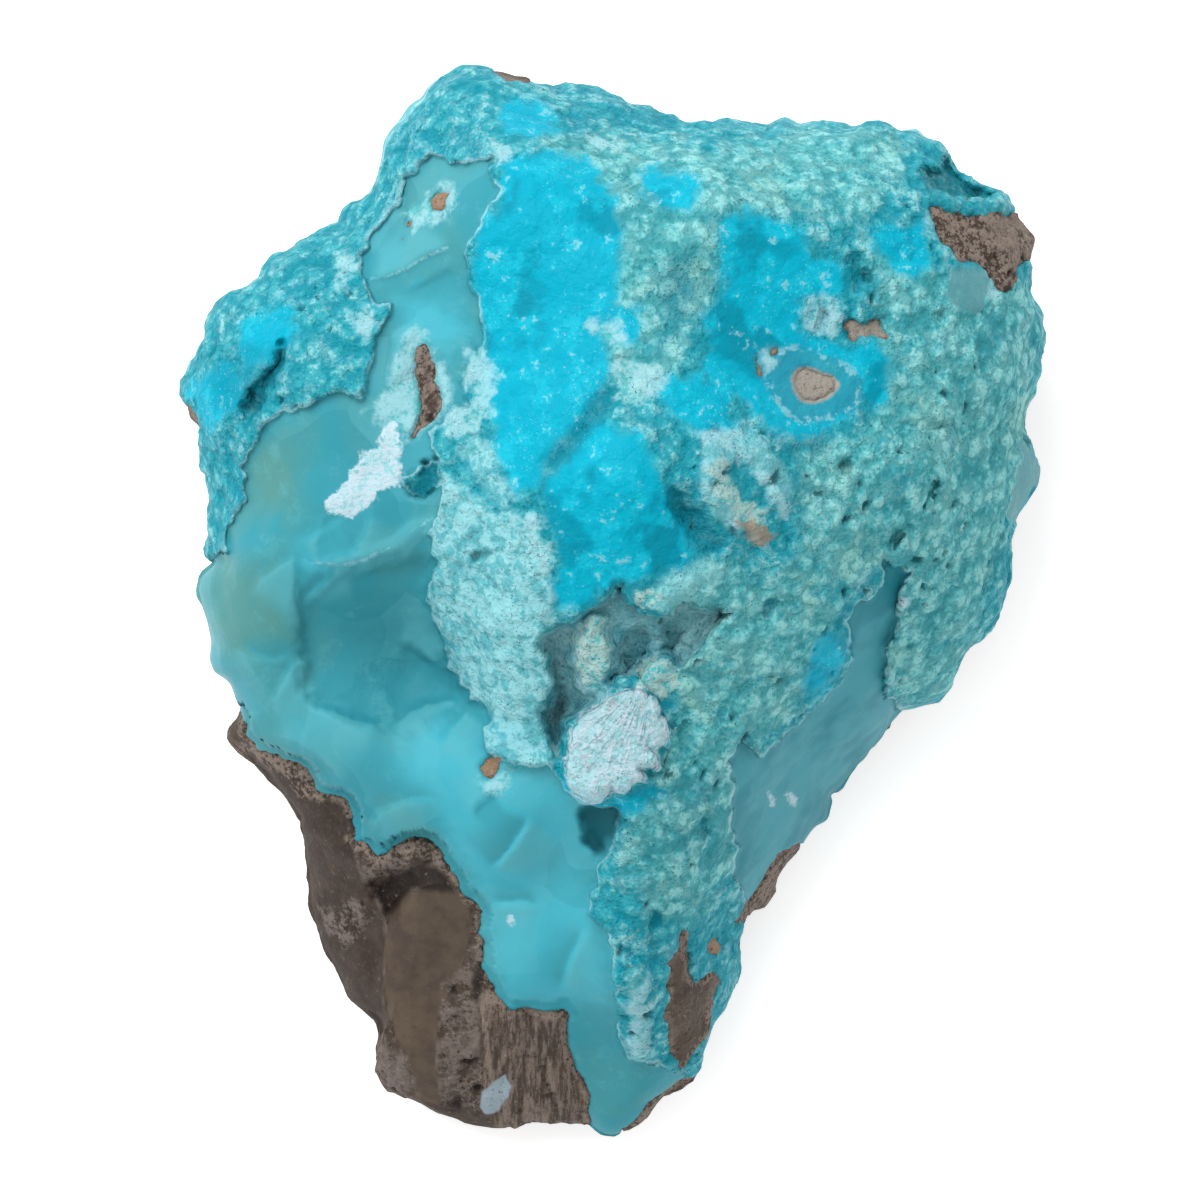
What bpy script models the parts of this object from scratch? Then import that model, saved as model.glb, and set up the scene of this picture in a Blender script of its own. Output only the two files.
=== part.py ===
"""Raw smithsonite: a blue-green crust that grew over one broken lump of brown host rock.

The specimen lies on its back. X runs to the right and Y to the top of the photograph, which
looks straight down on it, and Z is up. The origin is the middle of the base.

Both pieces are the same closed stone form seen at two depths. The form starts as a round
ball. Directions on the upper part of the ball are laid over the outline of the stone and
lifted to the heights of named spots, and the rest goes down the flanks and under the base.
The crust follows that surface where it shows, and the rock follows it wherever it is bare.
"""

import math

import bmesh
import bpy
import numpy as np
from mathutils import Vector, noise
from mathutils.bvhtree import BVHTree

# Driving dimensions, in metres
PIXEL = 0.00012
CRUST_THICKNESS = 0.0100
CRUST_SKIRT = 0.0125
SKIRT_WANDER = 0.0045
GAP = 0.00035
BARE_ROCK_RISE = 0.0028
RIM_ROUNDING = 0.0045
RIM_STEEPNESS = 0.98
THIN_SHARE = 0.35
BED_EASE = 0.0050
UPRIGHT_POWER = 4
SKIRT_SHARE = 0.55
LEDGE_WIDTH = 0.0004
LEDGE_CATCH = 0.0009
LUMP_SIZE = 0.0046
LUMP_RISE = 0.0010
LUMP_LEVEL = 0.6
SWELL_SIZE = 0.013
SWELL_RISE = 0.0012
FLANK_ROUGHNESS = 0.0022
FLANK_ROUGH_SIZE = 0.016
BASE_DISHING = 0.0030

# Edge lengths that the faces are refined to
LEDGE_EDGE = 0.0027
FINE_EDGE = 0.0038
SKIRT_EDGE = 0.0050
ROCK_EDGE = 0.0038
FLANK_EDGE = 0.0070
BED_EDGE = 0.0100
HIDDEN_EDGE = 0.0120
WINDOW_MARGIN = 0.0030
FLANK_LEVEL = 0.007

# The crust's skirt starts below these heights, at the tip and at the top end of the stone
SKIRT_TOP_Y = (-0.06, 0.06)
SKIRT_TOP_Z = (0.010, 0.026)

# Photograph pixel above the origin, and the pixel from which the whole outline is in view
MIDDLE = (614.0, 602.5)
HEART = (600.0, 560.0)

# The ball's polar angle at which its surface reaches the outline of the stone
RIM_POLAR = math.radians(100.0)

# Share of the way to the outline past which nothing is moved, so that the outline holds
RIM_CLEAR = 0.94

# Outline of the stone in photograph pixels, clockwise from the top left corner
OUTLINE = [
    (436, 80), (460, 67), (500, 71), (534, 86), (566, 85), (604, 89), (628, 102), (684, 120),
    (725, 118), (768, 126), (784, 120), (824, 127), (876, 122), (900, 133), (918, 128),
    (938, 139), (962, 173), (1000, 188), (1020, 216), (1036, 237), (1030, 265), (1040, 312),
    (1040, 370), (1021, 408), (1021, 430), (1043, 470), (1040, 484), (1012, 530), (1011, 580),
    (1000, 610), (966, 646), (957, 672), (936, 698), (898, 708), (868, 755), (832, 794),
    (826, 822), (800, 855), (775, 895), (750, 916), (742, 950), (728, 1010), (703, 1060),
    (690, 1085), (660, 1102), (630, 1135), (612, 1141), (592, 1129), (500, 1131), (465, 1128),
    (418, 1108), (385, 1095), (371, 1070), (382, 1025), (348, 1003), (334, 968), (312, 918),
    (308, 880), (300, 820), (280, 790), (240, 750), (227, 739), (240, 700), (208, 660),
    (210, 640), (197, 590), (216, 560), (209, 540), (209, 490), (200, 425), (184, 395),
    (202, 345), (212, 308), (240, 289), (266, 265), (300, 242), (340, 224), (350, 201),
    (378, 180), (396, 133), (412, 111),
]

# Height of the surface above the floor in millimetres, at photograph pixels
SPOT_HEIGHTS = [
    # along the outline
    (460, 67, 31), (560, 86, 31), (684, 120, 31), (800, 129, 31), (918, 128, 30),
    (1000, 190, 29), (1036, 240, 29), (1040, 340, 28), (1025, 430, 27), (1012, 545, 25),
    (960, 660, 22), (880, 738, 18), (826, 815, 15), (775, 895, 14), (740, 960, 13),
    (703, 1060, 14), (612, 1141, 12), (592, 1129, 12), (465, 1128, 12), (371, 1070, 12),
    (334, 968, 13), (305, 850, 16), (227, 739, 23), (200, 600, 27), (209, 510, 28),
    (184, 395, 28), (212, 308, 29), (300, 242, 30), (378, 180, 31), (412, 111, 31),
    # upper band and the bright blue face below it
    (500, 165, 46), (700, 170, 45), (870, 200, 41), (450, 250, 45), (560, 300, 52),
    (620, 400, 57), (620, 480, 60), (590, 560, 57), (540, 400, 53),
    # right face, with the eye
    (760, 300, 49), (812, 386, 48), (740, 450, 55), (900, 300, 42), (960, 300, 39),
    (1000, 400, 34), (900, 480, 45), (800, 560, 50), (700, 560, 55), (980, 600, 27),
    (930, 570, 36), (850, 610, 43), (780, 660, 46), (700, 700, 48), (740, 800, 38),
    # slot down the right
    (860, 690, 31), (800, 780, 26), (870, 620, 38),
    # left lobe and the smooth ground
    (430, 400, 47), (380, 480, 46), (300, 430, 42), (250, 380, 37), (300, 300, 38),
    (250, 560, 38), (330, 560, 42), (250, 660, 33),
    # hollow, its lip and the tongue
    (400, 630, 36), (440, 680, 34), (340, 650, 35), (340, 750, 35), (420, 780, 37),
    (500, 830, 39), (550, 870, 34), (540, 960, 29), (600, 1050, 19),
    # peninsula, knob, spine and tip
    (470, 600, 46), (495, 660, 45), (530, 740, 42), (620, 740, 47), (650, 870, 38),
    (700, 900, 31), (640, 1000, 29), (700, 1000, 20), (640, 1090, 17),
    # top of the brown flank
    (350, 820, 28), (440, 850, 31), (484, 950, 27), (500, 1005, 24), (563, 1012, 23),
]

# Outlines of forms on the front, in photograph pixels
SMOOTH_GROUND = [
    (495, 157), (452, 164), (424, 160), (404, 182), (400, 200), (372, 232), (362, 256),
    (370, 298), (390, 302), (376, 345), (366, 390), (345, 390), (290, 410), (262, 430),
    (243, 470), (247, 500), (227, 535), (216, 560), (120, 620), (120, 900), (400, 1250),
    (640, 1200), (628, 1060), (616, 990), (603, 922), (592, 892), (620, 835), (612, 810),
    (578, 803), (556, 770), (530, 768), (500, 757), (484, 742), (492, 718), (468, 702),
    (446, 650), (428, 600), (438, 562), (430, 530), (445, 480), (402, 485), (402, 470),
    (436, 455), (432, 432), (470, 408), (464, 380), (483, 330), (468, 275), (475, 235),
    (503, 190), (492, 180),
]
PENINSULA = [
    (445, 482), (430, 530), (438, 562), (428, 600), (446, 650), (468, 702), (492, 718),
    (484, 742), (500, 757), (530, 768), (556, 768), (543, 715), (558, 675), (542, 643),
    (555, 600), (520, 540), (490, 500),
]
HOLLOW = [
    (300, 605), (345, 569), (400, 560), (438, 562), (428, 600), (446, 650), (468, 702),
    (430, 702), (385, 724), (338, 713), (302, 690),
]
CAVITY = [
    (542, 643), (570, 626), (600, 600), (620, 584), (640, 612), (677, 608), (728, 612),
    (700, 645), (668, 655), (640, 678), (605, 693), (580, 710), (558, 755), (543, 715),
    (558, 680),
]
CAVITY_COLUMN = [(578, 622), (600, 612), (616, 640), (612, 690), (590, 702), (574, 670)]
WHITE_KNOB = [
    (568, 750), (580, 712), (609, 695), (640, 690), (662, 715), (688, 722), (657, 762),
    (640, 782), (608, 795), (580, 798), (566, 780),
]
POCKET = [(584, 808), (620, 806), (618, 836), (600, 856), (590, 840)]
SLOT = [
    (885, 563), (870, 597), (850, 612), (850, 660), (828, 700), (790, 730), (752, 752),
    (740, 738), (728, 760), (740, 850), (745, 905), (800, 960), (960, 760), (898, 708),
    (886, 680), (896, 620), (910, 573),
]
LOBE_CAVITY = [(282, 345), (290, 365), (276, 395), (245, 420), (252, 395), (272, 370)]
CORNER_RECESS = [(920, 172), (940, 168), (960, 175), (1000, 192), (965, 208), (930, 195)]
EYE_RECESS = [(847, 323), (884, 321), (885, 338), (848, 338)]
PILLAR = [
    (616, 975), (622, 960), (645, 962), (650, 1010), (643, 1058), (630, 1060), (620, 1030),
]
SHELF_HOLLOW = [(366, 884), (415, 866), (422, 880), (400, 905), (386, 922), (372, 900)]

# Places where the rock is bare, in photograph pixels; a flank's outline runs on past the stone
BROWN_FLANK = [
    (200, 700), (240, 712), (250, 743), (298, 763), (320, 794), (347, 799), (352, 840),
    (388, 852), (432, 842), (462, 890), (484, 912), (483, 970), (500, 1000), (545, 1013),
    (563, 1010), (573, 1055), (591, 1128), (600, 1250), (120, 1250), (120, 700),
]
BARE_CORNER = [
    (930, 206), (970, 216), (1000, 206), (1060, 200), (1060, 270), (1018, 272), (1012, 290),
    (992, 280), (970, 263), (950, 258), (935, 232),
]
BARE_WINDOW = [
    (425, 341), (440, 378), (445, 408), (425, 430), (409, 441), (422, 405), (414, 370),
]
BARE_SPECK = [(443, 189), (454, 196), (444, 211), (431, 211), (431, 199)]
BARE_RIGHT = [
    (738, 915), (765, 880), (778, 855), (800, 844), (840, 860), (800, 960), (735, 925),
]
BARE_SHARD = [
    (684, 930), (694, 985), (722, 978), (711, 1020), (690, 1068), (673, 1072), (664, 1030),
    (668, 955),
]
BARE_TIP = [(690, 1080), (720, 1120), (640, 1180), (615, 1140), (650, 1112)]
EYE_MIDDLE = (812, 386)
EYE_RADIUS = 24
EYE_SIDES = 12

# Flat breaks of the brown flank: three spots each, as pixel, pixel and millimetres of height
FLANK_BREAKS = [
    [(390, 905, 21), (385, 1000, 15), (235, 740, 17)],
    [(395, 905, 22), (470, 905, 25), (440, 1110, 12)],
    [(480, 985, 22), (565, 1015, 21), (560, 1115, 13)],
]

# Flat breaks of the back: direction they face and slope below level, in degrees. Each one
# starts from the outermost place of the rim, at this share of the rim's height.
BACK_BREAKS = [
    (12, 30), (58, 40), (96, 28), (135, 42), (176, 34), (214, 44), (250, 26), (288, 46),
    (325, 38),
]
BREAK_LEVEL = 0.68
BREAK_FADE = 0.22

# How far past the rim the flank's roughness and the dishing of the base reach their full size
FLANK_FADE = 0.25
BASE_FADE = 0.5

# How the flanks and the underside fall away: position on the ball beyond the rim, from 0 at
# the rim to 1 under the middle, then the share of the outline and the share of the rim height
BACK_PROFILE = [
    (0.00, 1.000, 1.00), (0.16, 1.005, 0.74), (0.30, 0.985, 0.48), (0.42, 0.930, 0.24),
    (0.52, 0.850, 0.06), (0.60, 0.740, 0.00), (1.00, 0.000, 0.00),
]

# Rise in millimetres of each form on the front
RELIEF = [
    (SMOOTH_GROUND, -1.8), (PENINSULA, 1.6), (HOLLOW, -2.0), (CAVITY, -7.0),
    (CAVITY_COLUMN, 3.5), (WHITE_KNOB, 3.0), (POCKET, -5.0), (SLOT, -3.0),
    (LOBE_CAVITY, -5.0), (CORNER_RECESS, -4.0), (EYE_RECESS, -2.0), (PILLAR, 2.2),
    (SHELF_HOLLOW, -3.0),
]

MILLIMETRE = 0.001
FAR = 1.0
OUTLINE_STEPS = 8
REFINE_ROUNDS = 6
LONG_EDGE = 1.4
EASE_ROUNDS = 60
EASE_SHARE = 0.5
SHARPEST_SHELL = 3.0

# Name, base colour, roughness
CRUST_FINISH = ("smithsonite", (0.09, 0.46, 0.54, 1.0), 0.42)
ROCK_FINISH = ("host_rock", (0.12, 0.09, 0.065, 1.0), 0.85)


def to_stone(pixels):
    """Turns photograph pixels into metres on the stone's own X and Y."""
    pixels = np.asarray(pixels, dtype=float)
    offset = (pixels - np.array(MIDDLE)) * PIXEL
    return offset * np.array([1.0, -1.0])


def ring(middle, radius, sides):
    """Pixels of a regular outline round one spot."""
    turns = [math.tau * side / sides for side in range(sides)]
    return [(middle[0] + radius * math.cos(a), middle[1] + radius * math.sin(a)) for a in turns]


def nearest_on_outline(points, outline):
    """Signed distance to a closed outline, above 0 inside it, and the nearest points on it."""
    corners = to_stone(outline)
    best = np.full(len(points), FAR)
    nearest = np.zeros_like(points)
    inside = np.zeros(len(points), dtype=bool)
    for start, end in zip(corners, np.roll(corners, -1, axis=0)):
        edge = end - start
        along = np.clip((points - start) @ edge / (edge @ edge), 0.0, 1.0)
        foot = start + along[:, None] * edge
        distance = np.linalg.norm(points - foot, axis=1)
        closer = distance < best
        best[closer] = distance[closer]
        nearest[closer] = foot[closer]
        crosses = (start[1] > points[:, 1]) != (end[1] > points[:, 1])
        rise = edge[1] if edge[1] != 0.0 else FAR
        meet = start[0] + (points[:, 1] - start[1]) / rise * edge[0]
        inside ^= crosses & (points[:, 0] < meet)
    return np.where(inside, best, -best), nearest


def smooth_step(values):
    """Eases from 0 to 1 as the values go from 0 to 1."""
    values = np.clip(values, 0.0, 1.0)
    return values * values * (3.0 - 2.0 * values)


def bend_kernel(distance):
    """The radial function of a thin bent plate."""
    safe = np.maximum(distance, 1e-9)
    return safe * safe * np.log(safe)


def fit_plate(spots):
    """Finds the thin plate that passes through spots of (pixel, pixel, millimetres)."""
    spots = np.asarray(spots, dtype=float)
    feet = to_stone(spots[:, :2])
    count = len(feet)
    apart = np.linalg.norm(feet[:, None] - feet[None], axis=2)
    flat = np.hstack([np.ones((count, 1)), feet])
    system = np.block([[bend_kernel(apart), flat], [flat.T, np.zeros((3, 3))]])
    wanted = np.concatenate([spots[:, 2] * MILLIMETRE, np.zeros(3)])
    return feet, np.linalg.solve(system, wanted)


PLATE_FEET, PLATE_WEIGHTS = fit_plate(SPOT_HEIGHTS)


def plate_height(points):
    """Height of the smooth plate through the named spots."""
    apart = np.linalg.norm(points[:, None] - PLATE_FEET[None], axis=2)
    count = len(PLATE_FEET)
    bent = bend_kernel(apart) @ PLATE_WEIGHTS[:count]
    return bent + PLATE_WEIGHTS[count] + points @ PLATE_WEIGHTS[count + 1:]


def plane_height(points, spots):
    """Height of the flat break through three spots."""
    spots = np.asarray(spots, dtype=float)
    feet = np.hstack([to_stone(spots[:, :2]), np.ones((3, 1))])
    slope = np.linalg.solve(feet, spots[:, 2] * MILLIMETRE)
    return points @ slope[:2] + slope[2]


def wave(points, size, seed):
    """Soft seeded noise from -1 to 1, one value for each point."""
    shift = Vector((seed * 7.3, seed * -3.1, seed * 5.7))
    return np.array([noise.noise(Vector(point) / size + shift) for point in points])


def grape(points, size, seed):
    """Rounded lumps from 0 between them to 1 on their tops."""
    shift = Vector((seed * 2.9, seed * 4.3, seed * -6.1))
    reach = [noise.voronoi(Vector(point) / size + shift)[0][0] for point in points]
    return 1.0 - np.clip(np.array(reach), 0.0, 1.0) ** 2


BARE_PLACES = [
    BROWN_FLANK, BARE_CORNER, BARE_WINDOW, BARE_SPECK, BARE_RIGHT, BARE_SHARD, BARE_TIP,
    ring(EYE_MIDDLE, EYE_RADIUS, EYE_SIDES),
]


def bare_distance(points):
    """Distance outside the nearest bare place, below 0 within one."""
    inside = [nearest_on_outline(points, outline)[0] for outline in BARE_PLACES]
    return -np.max(inside, axis=0)


def rim_reach():
    """Azimuths round the heart of the stone, and how far the outline is along each."""
    corners = to_stone(OUTLINE)
    steps = np.linspace(0.0, 1.0, OUTLINE_STEPS, endpoint=False)[:, None]
    runs = [start + steps * (end - start) for start, end in zip(corners, np.roll(corners, -1, 0))]
    from_heart = np.vstack(runs) - to_stone([HEART])
    azimuth = np.arctan2(from_heart[:, 1], from_heart[:, 0])
    order = np.argsort(azimuth)
    return azimuth[order], np.linalg.norm(from_heart, axis=1)[order]


RIM_AZIMUTH, RIM_REACH = rim_reach()


def rounded_rim(height, rim_distance):
    """Lets the front fall away over a rounded edge where it meets the flank."""
    fall = 1.0 - np.clip(rim_distance / RIM_ROUNDING, 0.0, 1.0)
    depth = np.minimum(RIM_ROUNDING, height * THIN_SHARE)
    return height - depth * (1.0 - np.sqrt(1.0 - fall * fall * RIM_STEEPNESS))


def front_height(points, relief_share):
    """Height of the visible front, with its ledges, breaks and lumps."""
    height = plate_height(points)
    for outline, rise in RELIEF:
        depth = nearest_on_outline(points, outline)[0]
        step = smooth_step(depth / LEDGE_WIDTH * 0.5 + 0.5)
        height = height + rise * MILLIMETRE * step * relief_share
    flank = nearest_on_outline(points, BROWN_FLANK)[0] > 0.0
    for spots in FLANK_BREAKS:
        height = np.where(flank, np.minimum(height, plane_height(points, spots)), height)
    smooth_depth = nearest_on_outline(points, SMOOTH_GROUND)[0]
    slot_depth = nearest_on_outline(points, SLOT)[0]
    bare = bare_distance(points)
    grainy = (smooth_depth < 0.0) & (slot_depth < 0.0) & (bare > 0.0)
    spread = np.hstack([points, np.zeros((len(points), 1))])
    lumps = np.where(grainy, grape(spread, LUMP_SIZE, 1) - LUMP_LEVEL, 0.0) * LUMP_RISE
    lumps += wave(spread, SWELL_SIZE, 2) * SWELL_RISE
    return height + lumps * relief_share


def gather_at_ledges(points):
    """Clears a narrow strip along each ledge, so that one row of faces forms its wall."""
    for outline, _ in RELIEF:
        distance, nearest = nearest_on_outline(points, outline)
        off = np.maximum(np.abs(distance), 1e-6)
        moved = LEDGE_WIDTH + off * (LEDGE_CATCH - LEDGE_WIDTH) / LEDGE_CATCH
        caught = (off < LEDGE_CATCH)[:, None]
        points = np.where(caught, nearest + (points - nearest) * (moved / off)[:, None], points)
    return points


def back_planes():
    """Flat breaks as normals and distances, each one touching the rim of the stone."""
    corners = to_stone(OUTLINE)
    rim = np.column_stack([corners, plate_height(corners) * BREAK_LEVEL])
    planes = []
    for facing, slope in BACK_BREAKS:
        turn, drop = math.radians(facing), math.radians(slope)
        level = math.cos(drop)
        normal = np.array([math.cos(turn) * level, math.sin(turn) * level, -math.sin(drop)])
        planes.append((normal, np.max(rim @ normal)))
    return planes


BACK_PLANES = back_planes()


def break_back(places):
    """Cuts the flanks and the underside back to their flat breaks."""
    for normal, distance in BACK_PLANES:
        beyond = np.maximum(places @ normal - distance, 0.0)
        places = places - beyond[:, None] * normal
    return places


def stone_form(directions, relief_share):
    """Lays ball directions on the stone; also gives the cover that the crust has there.

    With no relief share it gives the plain form, without ledges or breaks.
    """
    polar = np.arccos(np.clip(directions[:, 2], -1.0, 1.0))
    azimuth = np.arctan2(directions[:, 1], directions[:, 0])
    facing = np.column_stack([np.cos(azimuth), np.sin(azimuth)])
    reach = np.interp(azimuth, RIM_AZIMUTH, RIM_REACH, period=math.tau)
    share = np.sin(np.minimum(polar, RIM_POLAR) / 2.0) / math.sin(RIM_POLAR / 2.0)
    heart = to_stone([HEART])
    front = heart + facing * (reach * share)[:, None]
    if relief_share is None:
        height = plate_height(front)
    else:
        front = np.where((share < RIM_CLEAR)[:, None], gather_at_ledges(front), front)
        height = front_height(front, relief_share)
    height = rounded_rim(height, (1.0 - share) * reach)

    beyond = np.clip((polar - RIM_POLAR) / (math.pi - RIM_POLAR), 0.0, 1.0)
    profile = np.array(BACK_PROFILE)
    spread = np.interp(beyond, profile[:, 0], profile[:, 1])
    level = np.interp(beyond, profile[:, 0], profile[:, 2])
    plan = np.where(beyond[:, None] > 0.0, heart + facing * (reach * spread)[:, None], front)
    places = np.column_stack([plan, height * level])
    rough = wave(places, FLANK_ROUGH_SIZE, 3) * FLANK_ROUGHNESS * smooth_step(beyond / FLANK_FADE)
    places[:, :2] += facing * rough[:, None]
    dish = np.maximum(wave(places, FLANK_ROUGH_SIZE, 4), 0.0) * BASE_DISHING
    places[:, 2] += dish * smooth_step(beyond / BASE_FADE)
    if relief_share is not None:
        broken = smooth_step(beyond / BREAK_FADE)[:, None]
        places = places + (break_back(places) - places) * broken
    places[:, 2] = np.maximum(places[:, 2], 0.0)

    down = (1.0 - level) * height + (1.0 - spread) * reach
    skirt = np.minimum(CRUST_SKIRT, height * SKIRT_SHARE)
    skirt += SKIRT_WANDER * wave(places, FLANK_ROUGH_SIZE, 5)
    cover = np.minimum(bare_distance(places[:, :2]), skirt - down)
    return places, cover


def inward(directions):
    """Which way the rock lies from each place: down on the front, level at the rim."""
    polar = np.arccos(np.clip(directions[:, 2], -1.0, 1.0))
    azimuth = np.arctan2(directions[:, 1], directions[:, 0])
    upper = RIM_POLAR * (polar / RIM_POLAR) ** UPRIGHT_POWER
    lean = np.where(polar < RIM_POLAR, upper, polar)
    level = np.sin(lean)
    return -np.column_stack([np.cos(azimuth) * level, np.sin(azimuth) * level, np.cos(lean)])


def crust_surface(directions):
    """The visible surface, dipping into the rock wherever that is bare."""
    places, cover = stone_form(directions, np.ones(len(directions)))
    dip = np.clip(-cover, 0.0, BARE_ROCK_RISE)
    return places + inward(directions) * dip[:, None]


def rock_surface(directions):
    """The visible surface where the rock is bare, and the smooth bed of the crust elsewhere."""
    cover = stone_form(directions, np.ones(len(directions)))[1]
    places, cover = stone_form(directions, 1.0 - smooth_step(cover / BED_EASE))
    depth = np.clip(cover, 0.0, np.minimum(CRUST_THICKNESS, places[:, 2] * THIN_SHARE))
    return places + inward(directions) * depth[:, None]


def near_ledge(places):
    """Which places are close to the outline of a form on the front."""
    spans = [np.abs(nearest_on_outline(places[:, :2], outline)[0]) for outline, _ in RELIEF]
    return np.min(spans, axis=0) < LEDGE_EDGE


def crust_edge_length(places, cover):
    """Small faces on the front, larger ones on the skirt, and the largest under the rock."""
    upright = places[:, 2] > np.interp(places[:, 1], SKIRT_TOP_Y, SKIRT_TOP_Z)
    shown = np.where(upright, FINE_EDGE, SKIRT_EDGE)
    shown = np.where(near_ledge(places), LEDGE_EDGE, shown)
    return np.where(cover > -BARE_ROCK_RISE, shown, HIDDEN_EDGE)


def rock_edge_length(places, cover):
    """Small faces where the rock is bare on the front, larger ones behind and in the bed."""
    bare = bare_distance(places[:, :2]) < WINDOW_MARGIN
    behind = (places[:, 2] < FLANK_LEVEL) | ~bare
    shown = np.where(behind, FLANK_EDGE, ROCK_EDGE)
    shown = np.where(near_ledge(places) & ~behind, LEDGE_EDGE, shown)
    return np.where(bare | (cover < 0.0), shown, BED_EDGE)


def refine_ball(edge_length, rounds):
    """Splits the edges of a ball until, laid on the plain form, they are short enough."""
    ball = bmesh.new()
    bmesh.ops.create_icosphere(ball, subdivisions=3, radius=1.0)
    for _ in range(rounds):
        directions = np.array([vert.co.normalized() for vert in ball.verts])
        places, cover = stone_form(directions, None)
        wanted = edge_length(places, cover)
        ball.verts.index_update()
        long_edges = []
        for edge in ball.edges:
            start, end = edge.verts[0].index, edge.verts[1].index
            length = np.linalg.norm(places[start] - places[end])
            if length > LONG_EDGE * min(wanted[start], wanted[end]):
                long_edges.append(edge)
        if not long_edges:
            break
        bmesh.ops.subdivide_edges(ball, edges=long_edges, cuts=1, use_single_edge=True)
        bmesh.ops.triangulate(ball, faces=ball.faces[:], quad_method="SHORT_EDGE")
        for vert in ball.verts:
            vert.co.normalize()
    return ball


def crossing_points(form):
    """Points of the faces that cut through faces they don't touch."""
    form.verts.index_update()
    form.faces.ensure_lookup_table()
    tree = BVHTree.FromBMesh(form)
    crossing = set()
    for first, second in tree.overlap(tree):
        near, far = set(form.faces[first].verts), set(form.faces[second].verts)
        if not near & far:
            crossing |= near | far
    return crossing


def grow(form, amount):
    """Moves every face of a closed form out by an amount, further at sharp corners."""
    form.normal_update()
    moved = []
    for vert in form.verts:
        reach = min(vert.calc_shell_factor(), SHARPEST_SHELL)
        moved.append(vert.co + vert.normal * amount * reach)
    for vert, place in zip(form.verts, moved):
        vert.co = place


def ease_folds(form, spare):
    """Smooths a form wherever it folds through itself, as it is or grown by the spare room."""
    for _ in range(EASE_ROUNDS):
        crossing = crossing_points(form)
        resting = [vert.co.copy() for vert in form.verts]
        grow(form, spare)
        crossing |= crossing_points(form)
        for vert, place in zip(form.verts, resting):
            vert.co = place
        if not crossing:
            break
        bmesh.ops.smooth_vert(
            form, verts=list(crossing), factor=EASE_SHARE,
            use_axis_x=True, use_axis_y=True, use_axis_z=True)


def lay_on_stone(ball, surface, spare):
    """Moves the ball's points onto the stone, with no folds and some spare room round it."""
    places = surface(np.array([vert.co.normalized() for vert in ball.verts]))
    for vert, place in zip(ball.verts, places):
        vert.co = place
    bmesh.ops.recalc_face_normals(ball, faces=ball.faces)
    ease_folds(ball, spare)


def finish(name, colour, roughness):
    """A plain rough material."""
    material = bpy.data.materials.new(name)
    material.use_nodes = True
    shader = material.node_tree.nodes["Principled BSDF"]
    shader.inputs["Base Color"].default_value = colour
    shader.inputs["Roughness"].default_value = roughness
    shader.inputs["Metallic"].default_value = 0.0
    return material


def add_object(name, form, material):
    """Puts a finished form in the scene as one named object."""
    mesh = bpy.data.meshes.new(name)
    form.to_mesh(mesh)
    form.free()
    mesh.materials.append(material)
    made = bpy.data.objects.new(name, mesh)
    bpy.context.scene.collection.objects.link(made)
    return made


def make_host_rock():
    """The broken lump of brown rock, with its flat base."""
    ball = refine_ball(rock_edge_length, REFINE_ROUNDS)
    lay_on_stone(ball, rock_surface, spare=GAP)
    return add_object("host_rock", ball, finish(*ROCK_FINISH))


def make_crust_bed(host_rock):
    """A guide: the rock with the gap added, which is cut out of the crust."""
    bed = bmesh.new()
    bed.from_mesh(host_rock.data)
    grow(bed, GAP)
    guide = add_object("crust_bed", bed, host_rock.data.materials[0])
    guide.hide_render = True
    guide.display_type = "WIRE"
    return guide


def connected_points(start):
    """Every point that can be reached along edges from one point."""
    reached = {start}
    waiting = [start]
    while waiting:
        vert = waiting.pop()
        for edge in vert.link_edges:
            other = edge.other_vert(vert)
            if other not in reached:
                reached.add(other)
                waiting.append(other)
    return reached


def drop_loose_chips(made):
    """Applies an object's cut and keeps only its largest piece."""
    depsgraph = bpy.context.evaluated_depsgraph_get()
    form = bmesh.new()
    form.from_mesh(made.evaluated_get(depsgraph).to_mesh())
    left = set(form.verts)
    pieces = []
    while left:
        piece = connected_points(next(iter(left)))
        pieces.append(piece)
        left -= piece
    largest = max(pieces, key=len)
    chips = [vert for vert in form.verts if vert not in largest]
    bmesh.ops.delete(form, geom=chips, context="VERTS")
    made.modifiers.clear()
    form.to_mesh(made.data)
    form.free()


def make_smithsonite(bed):
    """The blue-green crust: the whole stone form with its bed cut away."""
    ball = refine_ball(crust_edge_length, REFINE_ROUNDS)
    lay_on_stone(ball, crust_surface, spare=0.0)
    crust = add_object("smithsonite", ball, finish(*CRUST_FINISH))
    cut = crust.modifiers.new("bed", "BOOLEAN")
    cut.operation = "DIFFERENCE"
    cut.solver = "EXACT"
    cut.object = bed
    drop_loose_chips(crust)
    return crust


def main():
    for old in list(bpy.data.objects):
        bpy.data.objects.remove(old)
    host_rock = make_host_rock()
    bed = make_crust_bed(host_rock)
    make_smithsonite(bed)


main()
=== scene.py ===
# %% [markdown]
# # Raw smithsonite
#
# The photograph shows one hand specimen from straight above: a blue-green crust of smithsonite
# that grew over a lump of brown host rock. The crust is granular on its old skin, waxy and
# vivid where it is pure, and smooth where a piece of it broke away. This lesson rebuilds it as
# two closed pieces, the crust and the rock, on the frame of the CAD model.
#
# The CAD model gives the size of the whole stone. Everything below is measured in
# photograph pixels, which the frame's own width and length turn into metres.

# %% The frame
import math

import bmesh
import bpy
import numpy as np
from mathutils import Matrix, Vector, noise


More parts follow.
